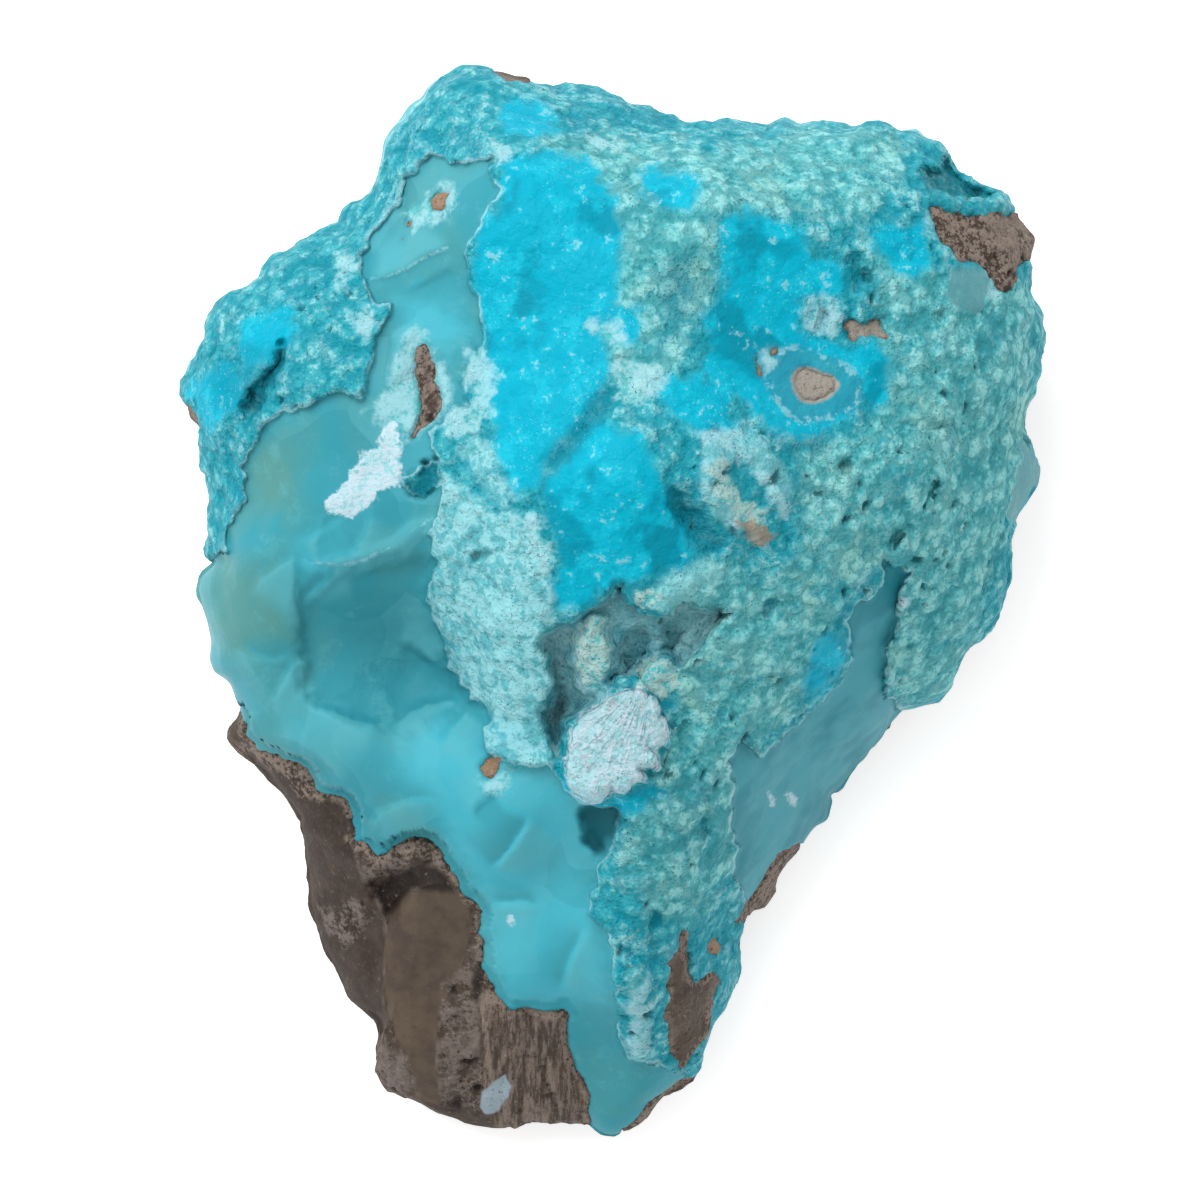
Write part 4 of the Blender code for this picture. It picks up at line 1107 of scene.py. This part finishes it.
def make_rock():
    """The broken brown lump, which dips under the crust wherever that lies on it."""
    ball = refine_ball(rock_edge_length)
    directions = directions_of(ball)
    places, cover, front, ragged, beyond = stone_form(directions, True)
    depth = np.clip(cover * 1.6 + 0.5, 0.0, 6.0) * MM
    move_points(ball, places + inward(directions) * depth[:, None])

    marks = {
        "dark_and_shaded": depth_in(front, DARK_SHADED_FACE) + ragged * 0.5,
        "smooth": depth_in(front, SMOOTH_FACE) + ragged * 0.4,
        "shade": depth_in_any(front, SHADED_PLACES) + ragged * 0.4,
        "cover": cover,
        "coarse": depth_in_any(front, ROUGH_PATCHES + [BARE_CORNER, BARE_WINDOW]) + ragged,
        "streaked": depth_in(front, STREAKED_FACE) + ragged,
        "crystal": depth_in(front, CRYSTAL_PATCH) + ragged * 0.5,
        "tan": depth_in_any(front, TAN_PLACES) + ragged,
        "warm": depth_in_any(front, BARE_SPECKS),
        "shard": depth_in(front, BARE_SHARD) + ragged,
        "recess": depth_in(front, EYE_RECESS),
        "eye": eye_distance(front),
        "behind": beyond,
    }
    coarse = smooth_step(marks["coarse"] / 1.0 + 0.5)
    streaked = smooth_step(marks["streaked"] / 1.0 + 0.5)
    behind = smooth_step(beyond / 0.1)
    grit, _ = grains(places, 1.3, 41)
    stretched = places * np.array([1.0, 0.22, 0.22])
    streaks = rough(stretched, 1.6, 42, 3)
    chips = rough(places, 9.0, 43, 5)
    even = smooth_step(np.maximum(marks["smooth"], marks["dark_and_shaded"]) / 0.8 + 0.5)
    lift = chips * (0.45 - 0.35 * even) + coarse * (grit - 0.6) * 0.7 + streaked * streaks * 0.35
    lift += behind * (rough(places, 4.0, 44, 4) * 0.45 + wave(places, 9.0, 45) * 0.6)
    pits = smooth_step((wave(places, 1.8, 46) - 0.45) / 0.15) * np.maximum(coarse, streaked * 0.6)
    lift -= pits * 0.5
    lift *= np.where(places[:, 2] < 0.3 * MM, 0.1, 1.0)
    push_out(ball, lift)
    for vert in ball.verts:
        vert.co.z = max(vert.co.z, 0.0)
    marks["pit"] = pits
    return add_piece("rock", ball, marks)


rock = make_rock()

# %% [markdown]
# ## Finishes
#
# A finish is a small graph of nodes. `Wire` wraps one socket, so that numbers can be added and
# multiplied as in ordinary Python, and `Finish` holds the material and makes its nodes.

# %% Wire and Finish
class Wire:
    """One value in a finish, for arithmetic with numbers and other values."""

    def __init__(self, finish, socket):
        self.finish = finish
        self.socket = socket

    def math(self, operation, *others):
        """One step of arithmetic on this value."""
        return self.finish.node("ShaderNodeMath", {"operation": operation}, self, *others)

    def __add__(self, other):
        return self.math("ADD", other)

    def __mul__(self, other):
        return self.math("MULTIPLY", other)

    def __sub__(self, other):
        return self.math("SUBTRACT", other)

    def __rsub__(self, other):
        return self * -1.0 + other

    __radd__ = __add__
    __rmul__ = __mul__

    def most(self, other):
        """The larger of two values."""
        return self.math("MAXIMUM", other)

    def step(self, low, high):
        """Eases from 0 at the low value to 1 at the high one."""
        return self.finish.node(
            "ShaderNodeMapRange", {"interpolation_type": "SMOOTHSTEP"},
            Value=self, From_Min=low, From_Max=high)


class Finish:
    """A material for one kind of surface."""

    def __init__(self, name, **constants):
        self.material = bpy.data.materials.new(name)
        self.material.use_nodes = True
        self.tree = self.material.node_tree
        self.shader = self.tree.nodes["Principled BSDF"]
        for key, value in constants.items():
            self.shader.inputs[key.replace("_", " ")].default_value = value
        self.place = self.node("ShaderNodeTexCoord", {}, out="Object")

    def feed(self, socket, value):
        """Links a wire to a socket, or sets a plain value there."""
        if isinstance(value, Wire):
            self.tree.links.new(value.socket, socket)
        else:
            socket.default_value = value

    def node(self, kind, settings, *values, out=0, **named):
        """Makes one node: its type, its settings, then the values of its sockets."""
        made = self.tree.nodes.new(kind)
        for key, value in settings.items():
            setattr(made, key, value)
        for socket, value in zip(made.inputs, values):
            self.feed(socket, value)
        for key, value in named.items():
            self.feed(made.inputs[key.replace("_", " ")], value)
        return Wire(self, made.outputs[out])

    def mark(self, name):
        """The number that a piece carries on its points under this name."""
        return self.node("ShaderNodeAttribute", {"attribute_name": name}, out="Fac")

    def stretched(self, x, y, z):
        """The place on the object, stretched along its axes."""
        return self.node(
            "ShaderNodeVectorMath", {"operation": "MULTIPLY"}, self.place, (x, y, z), out="Vector")

    def clouds(self, size, detail, roughness=0.5, place=None):
        """Noise from 0 to 1, with features of some millimetres."""
        return self.node(
            "ShaderNodeTexNoise", {}, out="Fac", Vector=place or self.place,
            Scale=1.0 / (size * MM), Detail=detail, Roughness=roughness)

    def bent(self, amount):
        """The place on the object, pushed about by some millimetres of noise."""
        swirl = self.node(
            "ShaderNodeTexNoise", {}, out="Color", Vector=self.place, Scale=0.5 / (amount * MM),
            Detail=0.0)
        reach = self.node(
            "ShaderNodeVectorMath", {"operation": "MULTIPLY_ADD"}, swirl,
            (amount * MM * 2.0,) * 3, (-amount * MM,) * 3, out="Vector")
        return self.node("ShaderNodeVectorMath", {"operation": "ADD"}, self.place, reach, out="Vector")

    def cells(self, size, place=None):
        """Distance to the nearest of many seeds, some millimetres apart."""
        return self.node(
            "ShaderNodeTexVoronoi", {}, out="Distance", Vector=place or self.place,
            Scale=1.0 / (size * MM))

    def facets(self, size, place):
        """A lightness of its own for each cell, some millimetres across."""
        return self.node(
            "ShaderNodeTexVoronoi", {}, out="Color", Vector=place, Scale=1.0 / (size * MM))

    def mix(self, share, first, second):
        """Goes from the first colour to the second as the share goes from 0 to 1."""
        made = self.tree.nodes.new("ShaderNodeMix")
        made.data_type = "RGBA"
        self.feed(made.inputs[0], share)
        self.feed(made.inputs[6], first)
        self.feed(made.inputs[7], second)
        return Wire(self, made.outputs[2])

    def bump(self, height, strength, depth):
        """Fine relief, its depth in millimetres."""
        return self.node(
            "ShaderNodeBump", {}, out="Normal", Strength=strength, Distance=depth * MM,
            Height=height)

    def give(self, piece, **fed):
        """Feeds the shader's sockets and puts the finish on a piece."""
        for key, value in fed.items():
            self.feed(self.shader.inputs[key.replace("_", " ")], value)
        piece.data.materials.append(self.material)


# %% [markdown]
# ### Smithsonite
#
# The crust looks waxy: its colours are deep, and its gloss is low and soft. All of its colours
# are mixed from this small palette, by noise and by the marks that the crust's points carry.

# %% Smithsonite palette
LIGHT = 1.38


def tint(red, green, blue):
    """Base colour that looks like this 8-bit colour in the studio's light."""
    shares = [value / 255.0 for value in (red, green, blue)]
    linear = [value / 12.92 if value <= 0.04045 else ((value + 0.055) / 1.055) ** 2.4
              for value in shares]
    return tuple(value / LIGHT for value in linear) + (1.0,)


VIVID_BLUE = tint(0, 178, 207)
VIVID_LIGHT = tint(20, 194, 220)
VIVID_SHADE = tint(0, 152, 178)
SKIN_BLUE = tint(62, 178, 192)
SKIN_PALE = tint(146, 218, 224)
SKIN_DEEP = tint(0, 142, 162)
MINT_BODY = tint(98, 196, 200)
MINT_PALE = tint(154, 226, 226)
MINT_CREAM = tint(160, 222, 208)
MINT_SHADE = tint(60, 152, 160)
GROUND_BLUE = tint(58, 158, 174)
GROUND_GREEN = tint(84, 156, 156)
GROUND_LIGHT = tint(96, 186, 198)
CLEAR_BLUE = tint(76, 190, 210)
# colour of painted shade in hollows, on sunk sides of lines and on darker facets; it also darkens edges
# next to bare rock
HOLLOW_SHADE_BLUE = tint(60, 154, 168)
TEAL_SHADE = tint(0, 132, 155)
SLOT_BLUE = tint(44, 142, 157)
# colour of painted shade in pockets, pits and beside ledges
CREVICE_SHADE = tint(6, 94, 108)
CHALK = tint(206, 230, 240)
PALE_BLUE = tint(168, 223, 231)
OLIVE_TINT = tint(92, 152, 144)
FROST_BODY = tint(108, 194, 205)
FROST_PALE = tint(158, 224, 232)
PALE_CRUST = tint(172, 224, 232)
MILK = tint(186, 220, 212)
LILAC_GREY = tint(96, 158, 166)
RUST = tint(176, 142, 112)
SUNK_GREY = tint(98, 174, 186)
EYE_BLUE = tint(46, 156, 180)
EYE_TAN = tint(186, 170, 156)
print("pure crust is", [round(value, 3) for value in VIVID_BLUE[:3]])

# %% [markdown]
# Five sizes of noise serve the whole crust. `wander` makes the zones' outlines ragged, and
# `mottle` makes their insides uneven. `lay` covers what is there with a hue, inside one zone.

# %% Noise of the crust
wax = Finish("smithsonite", Specular_IOR_Level=0.06)
broad = wax.clouds(9.0, 2.0)
cloud = wax.clouds(3.6, 4.0, 0.62)
patch = wax.clouds(1.5, 3.0, 0.65)
fine = wax.clouds(0.5, 2.0, 0.6)
speck = wax.clouds(0.30, 1.0)
banks = broad + (cloud - 0.5) * 0.8
nibble = (patch - 0.5) * 0.25
wander = (cloud - 0.5) * 2.4 + (patch - 0.5) * 1.4
mottle = (cloud - 0.5) * 1.4 + (patch - 0.5) * 1.6 + (fine - 0.5) * 1.1


def lay(under, name, hue, strength, raggedness, low, high):
    """Lays a hue over a colour inside a zone, from the low to the high millimetre."""
    inside = (wax.mark(name) + wander * raggedness).step(low, high)
    return wax.mix(inside * strength, under, hue)


print(len(wax.tree.nodes), "nodes of noise")

# %% [markdown]
# The old skin is blue at the rim and mint on the lumps. Its grains get painted light on top and
# painted shade in the creases, and its flakes and gaps, a millimetre or two apart, get painted light and
# shade.

# %% Old skin
skin = wax.mark("skin")
grain = wax.mark("grain")
# the skin's own mottle, plus painted light on high lumps and painted shade between them
tone_and_lump_light = mottle + (wax.mark("rise") - 0.3) * 0.9
blue = wax.mix(tone_and_lump_light.step(0.05, 0.45), SKIN_BLUE, SKIN_PALE)
blue = wax.mix(tone_and_lump_light.step(-0.05, -0.45) * 0.85, blue, SKIN_DEEP)
blue = wax.mix(banks.step(0.56, 0.68) * 0.4, blue, VIVID_SHADE)
body = wax.mix(tone_and_lump_light.step(-0.15, 0.32), MINT_BODY, MINT_PALE)
body = wax.mix(banks.step(0.60, 0.74) * 0.6, body, MINT_CREAM)
body = wax.mix(banks.step(0.44, 0.30) * 0.6, body, SKIN_DEEP)
body = wax.mix(tone_and_lump_light.step(-0.08, -0.46) * 0.85, body, MINT_SHADE)
mint = (wax.mark("mint") + wander * 1.4).step(-1.4, 1.4)
colour = wax.mix(mint * 0.85, blue, body)
# painted shade in the creases between grains
colour = wax.mix((grain + (fine - 0.5) * 0.8).step(0.35, 0.05) * 0.35, colour, SKIN_DEEP)

scales = wax.cells(1.7, wax.bent(0.6))
torn = scales + (fine - 0.5) * 0.3
# painted shade in the gaps between scales, and painted light on the raised flakes
gap_shade = torn.step(0.42, 0.62) * skin
colour = wax.mix(gap_shade * 0.6, colour, wax.mix(mint, SKIN_DEEP, MINT_SHADE))
flake_light = torn.step(0.26, 0.12) * skin
colour = wax.mix(flake_light * 0.45, colour, SKIN_PALE)
print(len(wax.tree.nodes), "nodes with the skin")

# %% [markdown]
# The vivid faces are the purest smithsonite, nearly even, with a few pale spots. Their valleys
# get painted teal shade and their ridges painted light. The peninsula is frosted, and a painted
# highlight follows the ledges' lips.

# %% Vivid faces and the peninsula
pure = wax.mix((cloud + (patch - 0.5) * 0.5).step(0.46, 0.66), VIVID_BLUE, VIVID_LIGHT)
pure = wax.mix((broad + (cloud - 0.5) * 0.4).step(0.46, 0.34), pure, VIVID_SHADE)
spots = patch.step(0.58, 0.66) * cloud.step(0.48, 0.56)
pure = wax.mix(spots * 0.5, pure, PALE_BLUE)
# the lines' height paints light on raised sides and ridges, and shade on sunk sides and in valleys
ridge_light_and_shade = wax.mark("lines")
colour = wax.mix(ridge_light_and_shade.step(0.15, 0.8) * 0.5, colour, SKIN_PALE)
vivid = (wax.mark("vivid") + wander * 1.9).step(-0.8, 0.8)
colour = wax.mix(vivid, colour, pure)
# painted shade in the teal zones, partly their own deeper teal
colour = lay(colour, "teal_shade", TEAL_SHADE, 0.45, 0.6, -1.0, 1.4)
# painted teal shade in the valleys of the lines
colour = wax.mix((ridge_light_and_shade + wander * 0.2).step(-0.25, -1.1) * 0.6, colour, TEAL_SHADE)

icy = wax.mix((tone_and_lump_light + (scales - 0.4)).step(-0.10, 0.30), FROST_BODY, FROST_PALE)
# painted shade in the frost's creases
icy = wax.mix((grain + (patch - 0.5)).step(0.25, 0.02) * 0.5, icy, MINT_SHADE)
colour = lay(colour, "frost", icy, 0.85, 0.9, -0.8, 1.0)
ledge = wax.mark("ground").most(wax.mark("slot")) + nibble
# rim: painted highlight along the lip of each ledge, on the skin side
rim = ledge.step(-0.55, -0.05) * ledge.step(0.05, -0.05) * cloud.step(0.38, 0.56)
colour = wax.mix(rim * 0.7, colour, PALE_BLUE)
print(len(wax.tree.nodes), "nodes with the vivid faces")

# %% [markdown]
# The broken ground is smooth. It has clear and olive zones, painted shade in its hollows, and
# shell-shaped facets each painted a little lighter or darker than the next as light and shade. The slot
# on the right is greyer.

# %% Broken ground
green = wax.mix(
    (broad + (cloud - 0.5) * 0.4).step(0.42, 0.66) * 0.5, GROUND_BLUE, GROUND_GREEN)
green = lay(green, "clear", CLEAR_BLUE, 0.85, 1.2, -2.0, 2.5)
# painted shade in the hollow by the peninsula and under the knob
green = lay(green, "hollow_shade", HOLLOW_SHADE_BLUE, 0.7, 1.0, -3.0, 2.5)
green = lay(green, "olive", OLIVE_TINT, 0.75, 1.0, -1.5, 3.0)
green = wax.mix((cloud + (fine - 0.5) * 0.3).step(0.52, 0.72) * 0.35, green, GROUND_LIGHT)
# painted light and shade, a little lighter or darker for each shell facet
facet_light_and_shade = wax.facets(9.0, wax.bent(3.0))
green = wax.mix(facet_light_and_shade.step(0.55, 0.80) * 0.30, green, GROUND_LIGHT)
green = wax.mix(facet_light_and_shade.step(0.45, 0.20) * 0.30, green, HOLLOW_SHADE_BLUE)
# painted light on raised sides of the lines, painted shade on sunk sides
green = wax.mix(ridge_light_and_shade.step(0.02, 0.28) * 0.6, green, GROUND_LIGHT)
green = wax.mix(ridge_light_and_shade.step(-0.02, -0.35) * 0.65, green, HOLLOW_SHADE_BLUE)
colour = wax.mix((wax.mark("ground") + nibble).step(-0.08, 0.08), colour, green)
grey = wax.mix((broad + cloud * 0.4).step(0.6, 0.8) * 0.4, SLOT_BLUE, GROUND_LIGHT)
colour = wax.mix((wax.mark("slot") + nibble).step(-0.08, 0.08), colour, grey)
# painted shadow beside each ledge, on its sunk side
shade = ledge.step(-0.02, 0.05) * ledge.step(0.35, 0.08) * cloud.step(0.58, 0.44)
colour = wax.mix(shade * 0.2, colour, CREVICE_SHADE)
vein = (wax.mark("vein") + wander * 0.3).step(0.30, 0.02) * fine.step(0.36, 0.56)
colour = wax.mix(vein * 0.5, colour, PALE_BLUE)
print(len(wax.tree.nodes), "nodes with the broken ground")

# %% [markdown]
# Pale and white crusts grew last, over everything else. The white knob is folded like a fan,
# so its noise runs along the turn round one spot and the distance from it.

# %% Cavity, pale crusts and the knob
hollow = wax.mix((cloud + fine * 0.3).step(0.45, 0.8), SUNK_GREY, PALE_BLUE)
colour = lay(colour, "sunk", hollow, 0.9, 0.3, -0.3, 0.4)
crusted = wax.mix(tone_and_lump_light.step(-0.40, 0.10), MINT_BODY, PALE_CRUST)
colour = lay(colour, "pale", crusted, 0.75, 1.5, -0.5, 0.9)
curd = wax.mix((patch + (fine - 0.5) * 0.6).step(0.36, 0.52), MINT_BODY, MILK)
colour = lay(colour, "milky", curd, 0.75, 1.1, -0.3, 0.5)
white = (wax.mark("white") + wander * 0.55 + (fine - 0.5) * 0.8).step(-0.25, 0.25)
chalk = wax.mix((patch + (fine - 0.5) * 0.8).step(0.36, 0.56), PALE_BLUE, CHALK)
chalk = wax.mix(scales.step(0.24, 0.14) * 0.6, chalk, SUNK_GREY)
colour = wax.mix(white * 0.95, colour, chalk)

on_knob = wax.mark("knob").step(0.0, 0.3)
fan = wax.node("ShaderNodeCombineXYZ", {}, wax.mark("turn"), wax.mark("spread"), out="Vector")
folds = wax.node(
    "ShaderNodeTexNoise", {}, out="Fac", Vector=fan, Scale=1.1, Detail=3.0, Roughness=0.6)
colour = wax.mix(on_knob * folds.step(0.52, 0.40) * 0.55, colour, PALE_BLUE)
colour = wax.mix((wax.mark("dots") + (fine - 0.5)).step(-0.2, 0.3) * 0.7, colour, CHALK)
colour = lay(colour, "lilac", LILAC_GREY, 0.85, 0.3, -0.2, 0.4)
colour = lay(colour, "rusty", RUST, 0.7, 1.4, 0.2, 0.8)
print(len(wax.tree.nodes), "nodes with the pale crusts")

# %% [markdown]
# Round the eye's core the crust is tan, then blue with broken pale arcs. Pits and pockets get
# painted shade everywhere, thin edges next to bare rock are darker, and a few points get painted glints.

# %% The eye, the pits and the glints
from_eye = wax.mark("eye")
eye = from_eye + (cloud - 0.5) * 1.3 + (patch - 0.5) * 0.8
arcs = eye.step(2.5, 2.3) * eye.step(1.9, 2.1) * patch.step(0.44, 0.56)
colour = wax.mix(eye.step(2.6, 1.9) * 0.8, colour, EYE_BLUE)
colour = wax.mix(eye.step(2.2, 1.6) * broad.step(0.40, 0.60) * 0.5, colour, SKIN_BLUE)
colour = wax.mix(arcs * 0.5, colour, PALE_BLUE)
colour = wax.mix((from_eye + (patch - 0.5) * 0.4).step(1.24, 1.04), colour, EYE_TAN)

# painted shade in pockets and pits
colour = lay(colour, "dark_and_shaded", CREVICE_SHADE, 0.55, 0.3, -0.3, 0.9)
# painted shade in the skin's pits
colour = wax.mix(wax.mark("pit").step(0.25, 0.8) * 0.6, colour, CREVICE_SHADE)
# painted shade in tiny pits of the skin
tiny_pit_shade = speck.step(0.36, 0.30) * cloud.step(0.50, 0.56) * skin
colour = wax.mix(tiny_pit_shade * 0.7, colour, CREVICE_SHADE)
edge = (wax.mark("cover") + (patch - 0.5) * 0.4).step(0.5, 0.1)
colour = wax.mix(edge * 0.25, colour, HOLLOW_SHADE_BLUE)
# painted glints: tiny white specks where the skin and the vivid faces catch the light
bright = (broad + cloud * 0.5).step(0.72, 0.86) * (skin * 0.7 + vivid * 0.5 + 0.05)
colour = wax.mix(speck.step(0.68, 0.73) * bright * 0.4, colour, CHALK)

relief = (patch * 0.9 + fine * 0.6 - scales * 0.8) * (skin * 0.9 + 0.06)
relief = relief + folds * on_knob * 1.6
roughness = 0.40 + skin * 0.12 + white * 0.12 + (fine - 0.5) * 0.1
wax.give(crust, Base_Color=colour, Roughness=roughness, Normal=wax.bump(relief, 0.9, 0.6))
print(len(wax.tree.nodes), "nodes in the crust's finish")

# %% [markdown]
# ### Host rock
#
# The rock is matt. Its left face is darker, partly its own fresh rock and partly painted shade,
# weathered edges tan, and the core of the eye is grey.

# %% Rock finish
ROCK_BROWN = tint(76, 63, 54)
ROCK_DARK = tint(58, 46, 39)
ROCK_SMOOTH = tint(97, 83, 69)
ROCK_GREY = tint(120, 108, 101)
ROCK_TAN = tint(146, 130, 118)
ROCK_LIGHT = tint(186, 172, 162)
# dark colour of painted shade in pits, holes and shaded places, and of dark grains
ROCK_PIT = tint(34, 26, 22)
ROCK_WARM = tint(164, 134, 106)
CORE_GREY = tint(170, 163, 152)
CRYSTAL_WHITE = tint(165, 185, 196)


def rock_finish():
    """Matt brown, with grit and streaks, and painted shade in pits, holes and hollows."""
    stone = Finish("host rock", Specular_IOR_Level=0.25)
    broad = stone.clouds(8.0, 4.0, 0.6)
    cloud = stone.clouds(2.2, 4.0, 0.65)
    fine = stone.clouds(0.55, 3.0, 0.7)
    streak = stone.clouds(0.7, 4.0, 0.7, place=stone.stretched(1.0, 0.14, 0.14))
    ragged = (cloud - 0.5) * 2.0
    smooth = (stone.mark("smooth") + ragged * 0.3).step(-0.2, 0.2)

    colour = stone.mix((broad + (cloud - 0.5) * 0.5).step(0.40, 0.66), ROCK_BROWN, ROCK_GREY)
    behind = stone.mark("behind").step(0.02, 0.15)
    colour = stone.mix(behind * broad.step(0.35, 0.7) * 0.6, colour, ROCK_SMOOTH)
    # the left face: painted shade over rock that is darker of its own
    dark_and_shaded = (stone.mark("dark_and_shaded") + ragged * 0.5).step(-0.3, 0.3)
    colour = stone.mix(dark_and_shaded * 0.9, colour, stone.mix(cloud.step(0.4, 0.7), ROCK_DARK, ROCK_BROWN))
    flat_brown = stone.mix((cloud + (broad - 0.5)).step(0.35, 0.8), ROCK_SMOOTH, ROCK_BROWN)
    colour = stone.mix(smooth * 0.95, colour, flat_brown)
    coarse = (stone.mark("coarse") + ragged * 0.6).step(-0.4, 0.5)
    colour = stone.mix(coarse * (cloud + (fine - 0.5) * 0.6).step(0.40, 0.62), colour, ROCK_GREY)
    streaked = (stone.mark("streaked") + ragged * 0.4).step(-0.3, 0.4)
    fibres = stone.mix(streak.step(0.40, 0.62), ROCK_BROWN, ROCK_TAN)
    colour = stone.mix(streaked * 0.85, colour, fibres)
    tan = (stone.mark("tan") + ragged * 0.7).step(-0.3, 0.8)
    rim = (stone.mark("cover") + ragged * 0.3).step(-1.3, -0.5) * (1.0 - behind)
    worn = tan.most(rim) * (cloud + (fine - 0.5) * 0.9).step(0.38, 0.58)
    colour = stone.mix(worn * 0.9, colour, ROCK_TAN)
    colour = stone.mix(stone.mark("warm").step(-1.2, -0.2) * 0.8, colour, ROCK_WARM)
    colour = stone.mix((stone.mark("shard") + ragged).step(0.0, 1.0) * 0.4, colour, ROCK_SMOOTH)
    colour = stone.mix((stone.mark("shade") + ragged * 0.4).step(-0.3, 0.6) * 0.85, colour, ROCK_PIT)
    crystal = (stone.mark("crystal") + ragged * 0.2).step(-0.1, 0.2)
    colour = stone.mix(crystal * 0.9, colour, CRYSTAL_WHITE)
    colour = stone.mix(stone.mark("recess").step(-0.1, 0.3) * 0.8, colour, CORE_GREY)
    core = stone.mark("eye").step(1.45, 1.25)
    colour = stone.mix(core, colour, CORE_GREY)
    # painted shade in the rock's pits
    colour = stone.mix(stone.mark("pit") * 0.85, colour, ROCK_PIT)
    rougher = 1.0 - smooth * 0.75 - dark_and_shaded * 0.5
    colour = stone.mix(fine.step(0.60, 0.74) * 0.5 * rougher, colour, ROCK_LIGHT)
    colour = stone.mix(fine.step(0.42, 0.30) * 0.65 * rougher, colour, ROCK_PIT)
    # painted shade in small holes
    hole_shade = stone.cells(1.6).step(0.20, 0.10) * cloud.step(0.50, 0.58) * rougher
    colour = stone.mix(hole_shade * 0.8, colour, ROCK_PIT)

    relief = (fine * 0.6 + cloud * 0.8) * (0.15 + rougher * 0.85) + streaked * streak * 0.8
    stone.give(
        rock, Base_Color=colour, Roughness=0.80 + (fine - 0.5) * 0.2,
        Normal=stone.bump(relief, 0.9, 0.5))
    print(len(stone.tree.nodes), "nodes in the rock's finish")


rock_finish()

# %% [markdown]
# ## The pieces join the frame
#
# Each piece rides on the one body and stands for its CAD solid, which is hidden.

# %% Joining the frame
for piece, node in ((crust, "smithsonite"), (rock, "host_rock")):
    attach(piece, "root")
    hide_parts(node)
    print(piece.name, "stands for", node)

# %% [markdown]
# ## Floor, light and camera
#
# The photograph was taken straight down on a white sheet. A wide lamp high on the upper left
# gives the soft shadow at the lower right, and the bright room fills the rest.

# %% Floor
FLOOR_HALF = 1.5


def make_floor():
    """A plain white sheet under the stone."""
    form = bmesh.new()
    bmesh.ops.create_grid(form, x_segments=1, y_segments=1, size=FLOOR_HALF)
    sheet = add_piece("floor", form, {})
    paper = Finish(
        "white sheet", Roughness=0.9, Base_Color=(0.93, 0.93, 0.93, 1.0),
        Emission_Color=(1.0, 1.0, 1.0, 1.0), Emission_Strength=0.45, Specular_IOR_Level=0.0)
    paper.give(sheet)


make_floor()

# %% Light
def aim(thing, target):
    """Turns a lamp or camera towards a place."""
    thing.rotation_euler = (Vector(target) - thing.location).to_track_quat("-Z", "Y").to_euler()


lamp_data = bpy.data.lights.new("window", "AREA")
lamp_data.shape = "DISK"
lamp_data.size = 1.6
lamp_data.energy = 36.0
lamp = bpy.data.objects.new("window", lamp_data)
lamp.location = (-0.75, 1.0, 1.5)
bpy.context.scene.collection.objects.link(lamp)
aim(lamp, (0.0, 0.0, 0.03))
print("lamp", round(lamp.location.length, 2), "m away")

world = bpy.data.worlds.new("bright room")
world.use_nodes = True
world.node_tree.nodes["Background"].inputs["Color"].default_value = (1.0, 1.0, 1.0, 1.0)
world.node_tree.nodes["Background"].inputs["Strength"].default_value = 0.8
bpy.context.scene.world = world
bpy.context.scene.view_settings.view_transform = "Standard"

# %% Camera
CAMERA_HEIGHT = 3.0
PHOTO_PIXELS = 1200
camera_data = bpy.data.cameras.new("camera")
camera_data.sensor_width = 36.0
camera_data.lens = 36.0 * (CAMERA_HEIGHT - 35.0 * MM) / (PHOTO_PIXELS * PIXEL)
camera = bpy.data.objects.new("camera", camera_data)
middle_x, middle_y = to_stone([(PHOTO_PIXELS / 2, PHOTO_PIXELS / 2)])[0]
camera.location = (middle_x, middle_y, CAMERA_HEIGHT)
bpy.context.scene.collection.objects.link(camera)
bpy.context.scene.camera = camera
print("lens", round(camera_data.lens), "mm")
